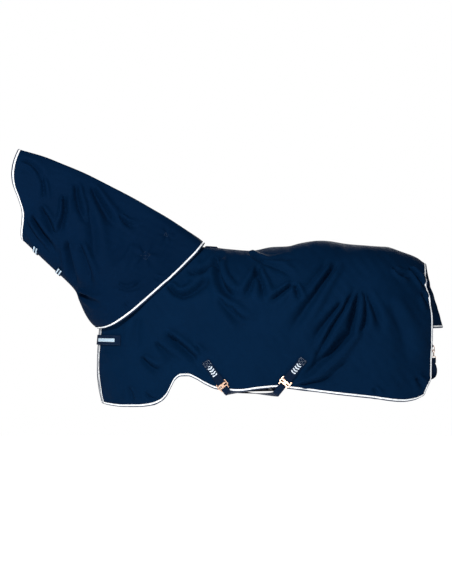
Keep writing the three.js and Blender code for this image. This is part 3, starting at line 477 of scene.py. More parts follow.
def binding_mesh(name, edge, normal, inward, thickness, body, width=12.0):
    """Binding folded over a cloth's edge, with a rounded nose. Its UV runs 0 to 1 from the outer leg."""
    o, i, w = 0.5, -thickness - 0.5, 1.7
    middle = (o + i) / 2
    profile = [(o + w * 0.75, width), (o + w, width - 2), (o + w, 3), (o + w, 0.5), (o + w * 0.5, -3.2),
               (middle, -5.6), (i - w * 0.5, -3.2), (i - w, 0.5), (i - w, 3), (i - w, width - 2),
               (i - w * 0.75, width), (i, width), (i, -0.4), (o, -0.4), (o, width)]
    v = [0.02, 0.1, 0.36, 0.44, 0.5, 0.55, 0.6, 0.66, 0.72, 0.9, 0.98, 0.98, 0.6, 0.5, 0.02]
    s = np.stack([edge + normal * a + inward * b for a, b in profile], 1)
    return sweep_mesh(name, s, MATERIALS["piping"], body, vscale=v)


def towards(edge, inner):
    d = inner - edge
    return d / np.linalg.norm(d, axis=-1, keepdims=True)


def tidy_frame(normal, inward):
    """The normals made square to the way into the cloth, and evened along the edge."""
    for _ in range(3):
        inward = (np.roll(inward, 1, 0) + 2 * inward + np.roll(inward, -1, 0)) if len(inward) > 4 else inward
        inward[0], inward[-1] = inward[1], inward[-2]
        inward /= np.linalg.norm(inward, axis=-1, keepdims=True)
    n = normal - inward * np.sum(normal * inward, -1, keepdims=True)
    return n / np.linalg.norm(n, axis=-1, keepdims=True), inward


# ---------------------------------------------------------------- materials
def nodes_for(name):
    m = bpy.data.materials.new(name)
    m.use_nodes = True
    tree = m.node_tree
    return m, tree, tree.nodes["Principled BSDF"]


def node(tree, kind, **values):
    n = tree.nodes.new(kind)
    for key, value in values.items():
        if hasattr(n, key) and key not in n.inputs:
            setattr(n, key, value)
        else:
            n.inputs[key].default_value = value
    return n


def math_node(tree, op, a, b=None):
    n = tree.nodes.new("ShaderNodeMath")
    n.operation = op
    for i, value in enumerate((a, b)):
        if value is None:
            continue
        if isinstance(value, (int, float)):
            n.inputs[i].default_value = value
        else:
            tree.links.new(value, n.inputs[i])
    return n.outputs[0]


def bands(tree, coordinate, period):
    """A wave from 0 to 1 of that period, in metres."""
    turn = math_node(tree, "MULTIPLY", coordinate, 2 * PI / period)
    return math_node(tree, "MULTIPLY_ADD", math_node(tree, "SINE", turn), 0.5)


def ramp(tree, source, stops):
    n = tree.nodes.new("ShaderNodeValToRGB")
    while len(n.color_ramp.elements) < len(stops):
        n.color_ramp.elements.new(0.5)
    for e, (at, colour) in zip(n.color_ramp.elements, stops):
        e.position = at
        e.color = (*colour, 1)
    tree.links.new(source, n.inputs[0])
    return n.outputs[0]


def cloth_material(name, colour, thread=0.0013, ripstop=0.0, rough=0.7, sheen=0.012, contrast=0.16,
                   spec=0.016):
    m, tree, shader = nodes_for(name)
    uv = node(tree, "ShaderNodeUVMap", uv_map="UVMap")
    split = tree.nodes.new("ShaderNodeSeparateXYZ")
    tree.links.new(uv.outputs[0], split.inputs[0])
    u, v = split.outputs[0], split.outputs[1]
    warp, weft = bands(tree, u, thread), bands(tree, v, thread)
    weave = math_node(tree, "MULTIPLY", warp, weft)
    where = tree.nodes.new("ShaderNodeTexCoord").outputs["Object"]
    broad = node(tree, "ShaderNodeTexNoise", Scale=5.0, Detail=4.0)
    fine = node(tree, "ShaderNodeTexNoise", Scale=420.0, Detail=2.0)
    tree.links.new(where, broad.inputs["Vector"])
    tree.links.new(where, fine.inputs["Vector"])
    height = math_node(tree, "MULTIPLY_ADD", fine.outputs[0], 0.35)
    tree.links.new(weave, height.node.inputs[2])
    shade = math_node(tree, "MULTIPLY_ADD", broad.outputs[0], 0.6)
    tree.links.new(math_node(tree, "MULTIPLY", weave, 0.4), shade.node.inputs[2])
    if ripstop:
        lines = math_node(tree, "MAXIMUM", *(
            math_node(tree, "POWER", bands(tree, c, ripstop), 24.0) for c in (u, v)))
        shade = math_node(tree, "ADD", shade, math_node(tree, "MULTIPLY", lines, 0.3))
        height = math_node(tree, "ADD", height, math_node(tree, "MULTIPLY", lines, 0.6))
    dark = tuple(c * (1 - contrast) for c in colour)
    light = tuple(c * (1 + contrast) + 0.0006 for c in colour)
    tree.links.new(ramp(tree, shade, [(0.15, dark), (0.85, light)]), shader.inputs["Base Color"])
    roughness = math_node(tree, "MULTIPLY_ADD", broad.outputs[0], 0.12)
    roughness.node.inputs[2].default_value = rough - 0.06
    tree.links.new(roughness, shader.inputs["Roughness"])
    shader.inputs["Specular IOR Level"].default_value = spec
    shader.inputs["Sheen Weight"].default_value = sheen
    shader.inputs["Sheen Roughness"].default_value = 0.45
    shader.inputs["Sheen Tint"].default_value = (0.12, 0.32, 0.75, 1)
    bump = node(tree, "ShaderNodeBump", Strength=0.35, Distance=0.0006)
    tree.links.new(height, bump.inputs["Height"])
    tree.links.new(bump.outputs[0], shader.inputs["Normal"])
    return m


def piping_material():
    """Woven binding: an off-white band with the binding's own navy beside its stitch row, navy painted round
    its nose and inner leg as shade, and a row of stitches.
    """
    m, tree, shader = nodes_for("binding_cloth")
    uv = node(tree, "ShaderNodeUVMap", uv_map="UVMap")
    split = tree.nodes.new("ShaderNodeSeparateXYZ")
    tree.links.new(uv.outputs[0], split.inputs[0])
    u, v = split.outputs[0], split.outputs[1]
    rib = bands(tree, u, 0.0011)
    stitch = math_node(tree, "GREATER_THAN", bands(tree, u, 0.0042), 0.3)
    row = math_node(tree, "LESS_THAN", math_node(tree, "ABSOLUTE", math_node(tree, "SUBTRACT", v, 0.1)), 0.02)
    sewn = math_node(tree, "MULTIPLY", stitch, row)
    noise = node(tree, "ShaderNodeTexNoise", Scale=60.0, Detail=3.0)
    tree.links.new(tree.nodes.new("ShaderNodeTexCoord").outputs["Object"], noise.inputs["Vector"])
    white, grey, navy = (0.82, 0.84, 0.86), (0.6, 0.63, 0.67), (0.004, 0.014, 0.04)
    pale = ramp(tree, noise.outputs[0], [(0.3, grey), (0.6, white)])
    off, on = (0, 0, 0), (1, 1, 1)
    # Painted shade: the navy from 0.42 on, round the nose and the inner leg, stands in for the shade where
    # the rolled edge turns from the light; the navy below 0.09 is the binding's own colour.
    across = ramp(tree, v, [(0.0, off), (0.09, off), (0.11, on), (0.4, on), (0.42, off), (0.7, off)])
    blend = node(tree, "ShaderNodeMix", data_type="RGBA")
    blend.inputs[6].default_value = (*navy, 1)
    tree.links.new(across, blend.inputs[0])
    tree.links.new(pale, blend.inputs[7])
    tree.links.new(blend.outputs[2], shader.inputs["Base Color"])
    shader.inputs["Roughness"].default_value = 0.55
    shader.inputs["Specular IOR Level"].default_value = 0.25
    height = math_node(tree, "SUBTRACT", math_node(tree, "MULTIPLY", rib, 0.3), sewn)
    bump = node(tree, "ShaderNodeBump", Strength=0.6, Distance=0.0008)
    tree.links.new(height, bump.inputs["Height"])
    tree.links.new(bump.outputs[0], shader.inputs["Normal"])
    return m


def webbing_material(name, colour, rough=0.65, marks=False, spec=0.06):
    """Ribbed webbing: ribs across, cords along, and for the anchors a row of plain woven marks."""
    m, tree, shader = nodes_for(name)
    uv = node(tree, "ShaderNodeUVMap", uv_map="UVMap")
    split = tree.nodes.new("ShaderNodeSeparateXYZ")
    tree.links.new(uv.outputs[0], split.inputs[0])
    u, v = split.outputs[0], split.outputs[1]
    ribs = bands(tree, u, 0.0022)
    cords = bands(tree, v, 0.055)
    weave = math_node(tree, "MULTIPLY", ribs, math_node(tree, "MULTIPLY_ADD", cords, 0.5))
    weave.node.inputs[1].default_value = 1.0
    noise = node(tree, "ShaderNodeTexNoise", Scale=300.0, Detail=3.0)
    tree.links.new(tree.nodes.new("ShaderNodeTexCoord").outputs["Object"], noise.inputs["Vector"])
    shade = math_node(tree, "MULTIPLY_ADD", noise.outputs[0], 0.5)
    tree.links.new(math_node(tree, "MULTIPLY", ribs, 0.5), shade.node.inputs[2])
    dark, light = tuple(c * 0.62 for c in colour), tuple(c * 1.3 for c in colour)
    colour_out = ramp(tree, shade, [(0.15, dark), (0.85, light)])
    if marks:
        centre = math_node(tree, "ABSOLUTE", math_node(tree, "SUBTRACT", v, 0.5))
        slant = math_node(tree, "ADD", u, math_node(tree, "MULTIPLY", centre, 0.02))
        bars = math_node(tree, "GREATER_THAN", bands(tree, slant, 0.016), 0.55)
        inner = math_node(tree, "LESS_THAN", centre, 0.3)
        start, end = math_node(tree, "GREATER_THAN", u, 0.036), math_node(tree, "LESS_THAN", u, 0.1)
        mask = math_node(tree, "MULTIPLY", math_node(tree, "MULTIPLY", bars, inner),
                         math_node(tree, "MULTIPLY", start, end))
        blend = node(tree, "ShaderNodeMix", data_type="RGBA")
        tree.links.new(mask, blend.inputs[0])
        tree.links.new(colour_out, blend.inputs[6])
        blend.inputs[7].default_value = (0.55, 0.62, 0.7, 1)
        colour_out = blend.outputs[2]
    tree.links.new(colour_out, shader.inputs["Base Color"])
    shader.inputs["Roughness"].default_value = rough
    shader.inputs["Specular IOR Level"].default_value = spec
    bump = node(tree, "ShaderNodeBump", Strength=0.7, Distance=0.0009)
    tree.links.new(math_node(tree, "MULTIPLY", ribs, cords), bump.inputs["Height"])
    tree.links.new(bump.outputs[0], shader.inputs["Normal"])
    return m


def thread_material(name, colour):
    m, tree, shader = nodes_for(name)
    noise = node(tree, "ShaderNodeTexNoise", Scale=900.0, Detail=2.0)
    tree.links.new(tree.nodes.new("ShaderNodeTexCoord").outputs["Object"], noise.inputs["Vector"])
    dark = tuple(c * 0.7 for c in colour)
    tree.links.new(ramp(tree, noise.outputs[0], [(0.3, dark), (0.7, colour)]), shader.inputs["Base Color"])
    shader.inputs["Roughness"].default_value = 0.5
    bump = node(tree, "ShaderNodeBump", Strength=0.4, Distance=0.0003)
    tree.links.new(noise.outputs[0], bump.inputs["Height"])
    tree.links.new(bump.outputs[0], shader.inputs["Normal"])
    return m


def metal_material():
    m, tree, shader = nodes_for("rose_gold_metal")
    where = tree.nodes.new("ShaderNodeTexCoord").outputs["Object"]
    noise = node(tree, "ShaderNodeTexNoise", Scale=90.0, Detail=5.0)
    tree.links.new(where, noise.inputs["Vector"])
    colours = [(0.3, (0.55, 0.33, 0.22)), (0.7, (0.83, 0.56, 0.42))]
    tree.links.new(ramp(tree, noise.outputs[0], colours), shader.inputs["Base Color"])
    rough = math_node(tree, "MULTIPLY_ADD", noise.outputs[0], 0.2)
    rough.node.inputs[2].default_value = 0.18
    tree.links.new(rough, shader.inputs["Roughness"])
    shader.inputs["Metallic"].default_value = 1.0
    bump = node(tree, "ShaderNodeBump", Strength=0.15, Distance=0.0004)
    tree.links.new(noise.outputs[0], bump.inputs["Height"])
    tree.links.new(bump.outputs[0], shader.inputs["Normal"])
    return m


NAVY = (0.0003, 0.0088, 0.0295)
MATERIALS = {
    "cloth": cloth_material("navy_ripstop", NAVY, ripstop=0.0055),
    # Painted shade: the cover's cloth is the body's navy ripstop made darker, standing in for the shade on
    # the hood.
    "cover": cloth_material("navy_ripstop_cover_painted_shade", (0.0002, 0.0072, 0.0255), ripstop=0.0055),
    "lining": cloth_material("navy_lining", (0.002, 0.008, 0.022), thread=0.0009, rough=0.55, sheen=0.02,
                             spec=0.05),
    "piping": piping_material(),
    "webbing": webbing_material("navy_webbing", (0.0004, 0.0075, 0.026)),
    "marked_webbing": webbing_material("marked_webbing", (0.0004, 0.007, 0.024), marks=True),
    "reflective": webbing_material("reflective_tape", (0.42, 0.55, 0.66), rough=0.35, spec=0.4),
    "thread": thread_material("light_thread", (0.3, 0.36, 0.44)),
    "grey_thread": thread_material("grey_thread", (0.5, 0.55, 0.6)),
    "seam_thread": thread_material("seam_thread", (0.004, 0.022, 0.06)),
    "navy_thread": thread_material("navy_thread", (0.01, 0.03, 0.08)),
    "metal": metal_material(),
}

# ---------------------------------------------------------------- body
SHELL, LINING_TOP, LINING_FOOT = 4.2, -5.0, -6.4
CLOTH = 6.4
FRONT_LEFT, FRONT_RIGHT = 0.18, -0.165
FLAP_Z, BEND_X = -458, -330


def levels(count, power=1.35):
    return np.linspace(0, 1, count) ** power


def body_patch(side, q_of, z_of, us, vs):
    """A grid of the rug's face, with its folds: q_of(u, z) and z_of(q, v)."""
    u, v = np.meshgrid(us, vs, indexing="ij")
    q = q_of(u, np.full(u.shape, -500.0))
    z = z_of(q, v)
    for _ in range(3):
        q = q_of(u, z)
        z = z_of(q, v)
    p = body_at(side, q, z)
    relief = body_relief(p[..., 0], p[..., 1], p[..., 2], side)
    inside = np.stack([np.clip(p[..., 0], -250, 1400), 0 * q, np.full(q.shape, -420.0)], -1)
    return relieved(p, relief, inside, seam_rows=())


def seam_fix(p, n, top_x):
    """Along the spine the cloth meets its other half: no gap, and a level normal."""
    on_spine = p[:, 0, 0] > top_x
    p[on_spine, 0, 1] = 0
    n[on_spine, 0, 1] = 0
    n[on_spine, 0] /= np.linalg.norm(n[on_spine, 0], axis=-1, keepdims=True)


def main_z(q, v):
    top, foot = meet(panel_top, q), meet(hem, q)
    return mix(top, foot, v)


def bind(name, edge, normals, inner, thickness, body, *nodes):
    """Binding along an edge of the cloth, with the next rows in to say which way it lies."""
    normal, inward = tidy_frame(normals.copy(), towards(edge, inner))
    piece = binding_mesh(name, edge, normal, inward, thickness, body)
    if nodes:
        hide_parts(*nodes)
    return piece


def add_body(side, dense):
    left = side < 0
    name = "left" if left else "right"
    cloth, lining = MATERIALS["cloth"], MATERIALS["lining"]
    us = np.linspace(0, 1, dense[0])
    q_of = lambda u, z: mix(station_at(BEND_X, z), 2, u)
    if left:
        us = np.concatenate([np.linspace(0, 0.35, dense[0] // 3, endpoint=False),
                             np.linspace(0.35, 1, dense[0])])
        q_of = lambda u, z: mix(FRONT_LEFT, 2, u)
    p, n = body_patch(side, q_of, main_z, us, levels(dense[1]))
    seam_fix(p, n, 3)
    body = sheet_mesh(f"body_cloth_{name}", p, n, 0, -SHELL, cloth, "rug")
    under = sheet_mesh(f"body_lining_{name}", p, n, LINING_TOP, LINING_FOOT, lining, "rug")
    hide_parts(f"body_panel_{name}")
    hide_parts(f"lining_{name}")
    trim = [bind(f"hem_piping_{name}", p[:, -1], n[:, -1], p[:, -5], CLOTH, "rug", f"hem_binding_{name}")]
    if left:
        trim += [bind("front_piping_left", p[0], n[0], p[4], CLOTH, "rug", "front_edge_binding")]
    if not left:
        add_front_right(side, cloth, lining)
    bind(f"rear_piping_{name}", p[-1, 2:], n[-1, 2:], p[-5, 2:], CLOTH, "rug", f"rear_binding_{name}")


def add_front_right(side, cloth, lining):
    """The far side's breast: the part that stays, above the slit, and the flap that opens."""
    def q_of(u, z):
        return mix(FRONT_RIGHT, station_at(BEND_X, z), u)
    us = np.linspace(0, 1, 60)
    above = lambda q, v: mix(meet(panel_top, np.abs(q)), FLAP_Z, v)
    p, n = body_patch(side, q_of, above, us, np.linspace(0, 1, 30))
    upper = sheet_mesh("breast_cloth_right", p, n, 0, -SHELL, cloth, "rug")
    under = sheet_mesh("breast_lining_right", p, n, LINING_TOP, LINING_FOOT, lining, "rug")
    below = lambda q, v: mix(FLAP_Z - 0.6, meet(hem, np.abs(q)), v)
    p, n = body_patch(side, q_of, below, us, np.linspace(0, 1, 60))
    flap = sheet_mesh("chest_flap_cloth", p, n, 0, -SHELL, cloth, None)
    flap_under = sheet_mesh("chest_flap_lining", p, n, LINING_TOP, LINING_FOOT, lining, None)
    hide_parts("chest_flap_right")
    foot = bind("chest_flap_piping", p[:, -1], n[:, -1], p[:, -4], CLOTH, None)
    front = bind("chest_flap_front_piping", p[0], n[0], p[4], CLOTH, None)
    for piece in (flap, flap_under, foot, front):
        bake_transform(piece)


# ---------------------------------------------------------------- neck cover
def add_cover(side, dense):
    name = "left" if side < 0 else "right"
    a, b = np.meshgrid(np.linspace(0, 1, dense[0]), np.linspace(0, 1, dense[1]), indexing="ij")
    p0 = cover_at(side, a, b)
    share = (1 - np.cos(PI * b)) / 2
    relief = cover_relief(p0[..., 0], p0[..., 1], p0[..., 2], side, a, share)
    centre = (mane(a) + throat(a)) / 2
    inside = np.stack([centre[..., 0], 0 * a, centre[..., 1]], -1)
    p, n = relieved(p0, relief, inside, seam_rows=(0,))
    p[:, 0, 1] = side * 0.3
    near_axis = np.abs(p[..., 1]) < 9
    n[near_axis, 1] *= 0.2
    n /= np.linalg.norm(n, axis=-1, keepdims=True)
    # The cover's cloth takes the darker navy of painted shade.
    cloth = sheet_mesh(f"cover_cloth_{name}", p, n, 0, -3.4, MATERIALS["cover"], None)
    under = sheet_mesh(f"cover_lining_{name}", p, n, -3.9, -4.9, MATERIALS["lining"], None)
    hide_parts(f"neck_panel_{name}", f"shoulder_skirt_{name}")
    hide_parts(f"neck_lining_{name}", f"skirt_lining_{name}")
    rear = bind(f"shoulder_piping_{name}", p[-1], n[-1], p[-4], 4.9, "rug", f"skirt_binding_{name}")
    face = bind(f"face_piping_{name}", p[0], n[0], p[4], 4.9, "neck_cover", f"face_binding_{name}")
    star = tack_stitches(f"tack_stitching_{name}", p, n)
    for piece in (cloth, under, star):
        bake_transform(piece)


def tack_stitches(name, p, n):
    """The sewn spots on the cover: a small square with a cross, in thread."""
    lines = []
    for cx, cz, size in TACKS:
        i, k = np.unravel_index(np.argmin(np.hypot(p[..., 0] - cx, p[..., 2] - cz)), p.shape[:2])
        normal = n[i, k]
        d = unit(p[i + 1, k] - p[i - 1, k])
        w = unit(np.cross(normal, d))
        r = 20 * size

        def spot(u, v):
            near = np.linalg.norm(p - (p[i, k] + d * u + w * v), axis=-1)
            q = np.unravel_index(np.argmin(near), near.shape)
            flat = p[i, k] + d * u + w * v
            return flat + n[q] * (np.dot(p[q] - flat, n[q]) + 0.3)

        a, b, c, e = (-1, -1), (1, -1), (1, 1), (-1, 1)
        for (u0, v0), (u1, v1) in ((a, b), (b, c), (c, e), (e, a), (a, c), (e, b)):
            lines.append([spot(r * mix(u0, u1, t), r * mix(v0, v1, t)) for t in np.linspace(0, 1, 5)])
        face = normal
    return stitches(name, lines, face, None, radius=0.8, material="seam_thread")


# ---------------------------------------------------------------- tail flap
def add_tail_flap():
    line = through([(-460, 1361), (-439, 1358), (-285, 1315), (-182, 1279), (-86, 1266.7)])
    v, u = np.meshgrid(np.linspace(0, 1, 60), np.linspace(-1, 1, 41), indexing="ij")
    y = mix(60, 118, v**0.7) * u
    arc = 325 * (1 - np.sqrt(1 - (y / 200) ** 2)) * (1 - smooth(3 * v))
    level = mix(-86, -446, v)
    p = np.stack([line(level) - 58 * u * u * smooth((v - 0.2) / 0.8), y, level - arc], -1)
    relief = (2.2 * np.cos(u * 7 + v * 2) + 1.2 * ripple(y, level, 31, 90)) * smooth(v * 3)
    inside = p - np.array([100.0, 0, 40.0])
    p, n = relieved(p, relief, inside)
    cloth = sheet_mesh("tail_flap_cloth", p, n, 0, -3.0, MATERIALS["cloth"], "tail_flap")
    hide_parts("tail_flap")
    foot = bind("tail_flap_piping", p[-1], n[-1], p[-4], 3.0, "tail_flap", "tail_flap_binding")


# ---------------------------------------------------------------- webbing
def curve3(points, count):
    """A uniform Catmull-Rom curve through rows of any width, evenly in its parameter."""
    p = np.asarray(points, float)
    n = len(p) - 1
    t = np.linspace(0, n, n * count + 1)
    i = np.minimum(t.astype(int), n - 1)
    w = (t - i)[:, None]
    p1, p2 = p[i], p[i + 1]
    p0, p3 = p[np.maximum(i - 1, 0)], p[np.minimum(i + 2, n)]
    v0, v1 = (p2 - p0) / 2, (p3 - p1) / 2
    return (2 * p1 - 2 * p2 + v0 + v1) * w**3 + (-3 * p1 + 3 * p2 - 2 * v0 - v1) * w**2 + v0 * w + p1


EDGE = [(-0.5, 0.1), (-0.49, 0.36), (-0.455, 0.5), (-0.25, 0.47), (0.25, 0.47), (0.455, 0.5), (0.49, 0.36),
        (0.5, 0.1), (0.5, -0.1), (0.49, -0.36), (0.455, -0.5), (0.25, -0.47), (-0.25, -0.47), (-0.455, -0.5),
        (-0.49, -0.36), (-0.5, -0.1)]


def ribbon(name, points, across, width, thick, material, body, fine=4):
    """Webbing along the points, flat across the given directions, with its selvedges rounded."""
    both = curve3(np.concatenate([points, unit(across)], 1), fine)
    path, side = both[:, :3], both[:, 3:]
    tangent = unit(np.gradient(path, axis=0))
    side = unit(side - tangent * np.sum(side * tangent, -1, keepdims=True))
    up = np.cross(tangent, side)
    s = np.stack([path + side * (w * width) + up * (n * thick) for w, n in EDGE], 1)
    v = [min(max(w + 0.5, 0), 1) for w, _ in EDGE]
    return sweep_mesh(name, s, material, body, vscale=v)


def unit(v):
    v = np.asarray(v, float)
    return v / np.linalg.norm(v, axis=-1, keepdims=True)


def on_side(side, x, z):
    at = lambda x, z: body_at(side, station_at(np.array(x, float), np.array(z, float)), np.array(z, float))
    n = np.cross(at(x + 1, z) - at(x - 1, z), at(x, z + 1) - at(x, z - 1))
    return at(x, z), unit(n if n[1] * side > 0 else -n)


WIDE = {"anchor": 48, "belly": 40, "chest": 56, "throat": 36, "leg": 25}
THICK = 3
LOW, STEP, FOLD_REACH = 5.4, 3.5, 3.2
PLATE = {"tall": 36, "bar": 5, "thick": 3}
HOOK_BAR = 5


class Anchor:
    """The frame at an anchor's end: s down it, h out of the rug's face, and w across."""

    def __init__(self, side, line):
        (x0, z0), (x1, z1) = line
        self.length = math.hypot(x1 - x0, z1 - z0)
        self.place = lambda s: on_side(side, mix(x0, x1, s / self.length), mix(z0, z1, s / self.length))
        self.d = unit(self.place(self.length + 1)[0] - self.place(self.length - 1)[0])
        self.end, self.n = self.place(self.length)
        self.w = unit(np.cross(self.d, self.n))

    def at(self, s, h, w=0):
        return self.end + self.d * s + self.n * h + self.w * w


def round_bar(frame, s, h, radius, way):
    turns = np.radians(np.linspace(-90, 90, 9))
    reach = way * (radius + FOLD_REACH)
    return [frame.at(s + math.cos(a) * reach, h - way * math.sin(a) * radius) for a in turns]


def add_anchors():
    frames = {}
    for side in (-1, 1):
        name = "left" if side < 0 else "right"
        for where, line in ANCHORS.items():
            frame = frames[where, side] = Anchor(side, line)
            laid = [frame.place(s) for s in np.linspace(0, frame.length - 80, 6)]
            path = [p + n * 3.2 for p, n in laid]
            path += [frame.at(-55, LOW + 3.6), frame.at(-25, LOW + 3.9), frame.at(-9, LOW + 2 * STEP)]
            path += round_bar(frame, 0, LOW + STEP, STEP, 1)
            path += [frame.at(-34, LOW)]
            across = [np.cross(frame.d, n) for _, n in laid] + [frame.w] * (len(path) - len(laid))
            piece = ribbon(f"anchor_webbing_{where}_{name}", path, across, WIDE["anchor"], THICK,
                           MATERIALS["marked_webbing"], "rug")
            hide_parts(f"surcingle_anchor_{where}_{name}")
            stitch_box(f"anchor_stitching_{where}_{name}", frame, laid)
    return frames


def stitch_box(name, frame, laid):
    """Rows of stitches that hold the anchor's upper end: a box with a cross in it."""
    (p0, n0), p1 = laid[0], laid[2][0]
    w = unit(np.cross(frame.d, n0))
    d = unit(p1 - p0)
    top, foot, half, height = 4, 30, 19, 4.9
    corner = lambda a, b: p0 + n0 * height + d * a + w * b * half
    box = [corner(a, b) for a, b in ((top, -1), (top, 1), (foot, 1), (foot, -1), (top, -1))]
    lines = [box, [corner(top, -1), corner(foot, 1)], [corner(top, 1), corner(foot, -1)]]
    stitches(name, lines, n0, "rug")


def stitches(name, lines, normal, body, length=4.2, gap=1.4, radius=0.45, material="thread"):
    """Small rounded stitches along the lines, each a closed six-sided grain."""
    verts, faces = [], []
    for line in lines:
        line = np.asarray(line, float)
        seg = np.linalg.norm(np.diff(line, axis=0), axis=1)
        run = np.concatenate([[0], np.cumsum(seg)])
        at = np.arange(gap, run[-1] - length, length + gap)
        for a in at:
            q0, q1 = (np.array([np.interp(v, run, line[:, k]) for k in range(3)]) for v in (a, a + length))
            t = unit(q1 - q0)
            side = unit(np.cross(t, normal))
            up = np.cross(side, t)
            base = len(verts)
            verts += [q0]
            for share, r in ((0.2, 1.0), (0.8, 1.0)):
                c = mix(q0, q1, share)
                verts += [c + side * radius * r * math.cos(k) + up * radius * r * math.sin(k)
                          for k in np.linspace(0, 2 * PI, 6, endpoint=False)]
            verts += [q1]
            for k in range(6):
                m = (k + 1) % 6
                first, second = base + 1, base + 7
                faces += [(base, first + m, first + k), (first + k, first + m, second + m, second + k),
                          (base + 13, second + k, second + m)]
    return finish_mesh(name, verts, faces, None, MATERIALS[material], body)


UNDER_HEM = -812


def add_belly_straps(frames):
    plate_height = LOW + STEP
    hook_height = plate_height + PLATE["thick"] + 1
    near_bar = PLATE["tall"] + 12 - HOOK_BAR / 2
    far_bar = PLATE["tall"] - PLATE["bar"]
    turn_in = lambda f, bar: max(bar + 24, (f.at(0, 0)[2] - UNDER_HEM) / -f.d[2])
    for near, far, name, sag in (("front", "rear", "upper", -6), ("rear", "front", "lower", 6)):
        near, far = frames[near, -1], frames[far, 1]
        a, b = turn_in(near, near_bar), turn_in(far, far_bar)
        start = [near.at(near_bar + 16, hook_height - STEP)]
        start += round_bar(near, near_bar, hook_height, STEP, -1)
        start += [near.at(near_bar + 14, hook_height + STEP * 0.9), near.at(a - 8, hook_height + 1)]
        finish = [far.at(b - 8, plate_height + 1), far.at(far_bar + 14, plate_height + STEP * 0.9)]
        finish += round_bar(far, far_bar, plate_height, STEP, -1)[::-1]
        finish += [far.at(far_bar + 16, plate_height - STEP)]
        p, q = near.at(a + 2, hook_height - 6), far.at(b + 2, plate_height - 6)
        depth = UNDER_HEM - 6 - (p[2] + q[2]) / 2
        belly = []
        for t in np.linspace(0.05, 0.95, 17):
            point = mix(p, q, (1 - math.cos(t * PI)) / 2)
            point[2] += (depth - sag) * math.sin(t * PI) ** 0.6
            belly.append(point)
        path = start + belly + finish
        share = np.clip((np.arange(len(path)) - len(start) + 1) / (len(belly) + 1), 0, 1)[:, None]
        across = mix(near.w, -far.w, share)
        piece = ribbon(f"belly_webbing_{name}", path, across, WIDE["belly"], THICK, MATERIALS["webbing"],
                       "rug")
        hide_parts(f"belly_strap_{name}")


CHEST_Z, CHEST_HIGH = -519, 3.9


def chest_frame(q, extra):
    at = lambda q, z: body_at(1 if q < 0 else -1, np.array(abs(q)), np.array(z, float))
    rise = unit(at(q, CHEST_Z + 20) - at(q, CHEST_Z - 20))
    n = unit(np.cross(at(q + 0.01, CHEST_Z) - at(q - 0.01, CHEST_Z), rise))
    n = -n if n[0] > 0 else n
    lift = mix(1.3, CHEST_HIGH, smooth((q + 0.34) / 0.2))
    return at(q, CHEST_Z) + n * (lift + extra + 1.5), rise, n


def add_chest_strap():
    q = np.concatenate([np.linspace(-0.62, 0.03, 14), np.linspace(0.08, 0.58, 12)])
    rows = [chest_frame(v, 0) for v in q]
    strap = ribbon("chest_webbing", [r[0] for r in rows], [r[1] for r in rows], WIDE["chest"], THICK,
                   MATERIALS["webbing"], "chest_flap")
    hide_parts("chest_strap")
    rows = [chest_frame(v, 2.6) for v in np.linspace(0.15, 0.5, 14)]
    tape = ribbon("chest_reflective_tape", [r[0] for r in rows], [r[1] for r in rows], 19, 1.2,
                  MATERIALS["reflective"], "chest_flap", fine=2)
    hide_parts("chest_reflector")
    rows = [chest_frame(v, 3.3) for v in np.linspace(0.16, 0.49, 14)]
    stitches("chest_tape_stitching", [edge_of(rows, -8), edge_of(rows, 8)], rows[5][2], "chest_flap",
             material="grey_thread")
    rows = [chest_frame(v, 1.7) for v in np.linspace(-0.6, 0.57, 20)]
    stitches("chest_webbing_stitching", [edge_of(rows, -24), edge_of(rows, 24)], rows[5][2], "chest_flap",
             material="navy_thread")


def edge_of(rows, k):
    return [r[0] + r[1] * k for r in rows]


def add_throat_straps():
    for a, where in ((0.16, "upper"), (0.42, "lower")):
        rows = []
        for side in (-1, 1):
            beta = np.linspace(0.84, 1.0, 9)
            at = lambda da, db: cover_at(side, np.full(beta.shape, a + da), np.clip(beta + db, 0, 1))
            p = at(0, 0)
            along = unit(at(0.004, 0) - at(-0.004, 0))
            n = unit(np.cross(along, at(0, 0) - at(0, -0.01)))
            centre = np.append(((mane(a) + throat(a)) / 2), 0)[[0, 2, 1]]
            n = np.where(np.sum(n * (p - centre), -1, keepdims=True) < 0, -n, n)
            if side > 0:
                p, along, n = p[::-1], along[::-1], n[::-1]
            rows += list(zip(p + n * 5.5, along, n))[: 9 if side < 0 else None]
        del rows[9]
        strap = ribbon(f"throat_webbing_{where}", [r[0] for r in rows], [r[1] for r in rows], WIDE["throat"],
                       THICK, MATERIALS["webbing"], "neck_cover")
        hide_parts(f"throat_strap_{where}")
        near = rows[:9]
        for k, offset in ((0, -10), (1, 7)):
            path = [p + n * 2.2 + w * offset for p, w, n in near]
            tape = ribbon(f"throat_stripe_{where}_{k}", path, [r[1] for r in near], 8, 0.9,
                          MATERIALS["reflective"], "neck_cover", fine=2)
            if k == 0:
                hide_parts(f"throat_reflector_{where}")


RING = {"reach": 20, "clearance": 0.5}
WIRE = 1.8
TAB_DEPTH = 13.3


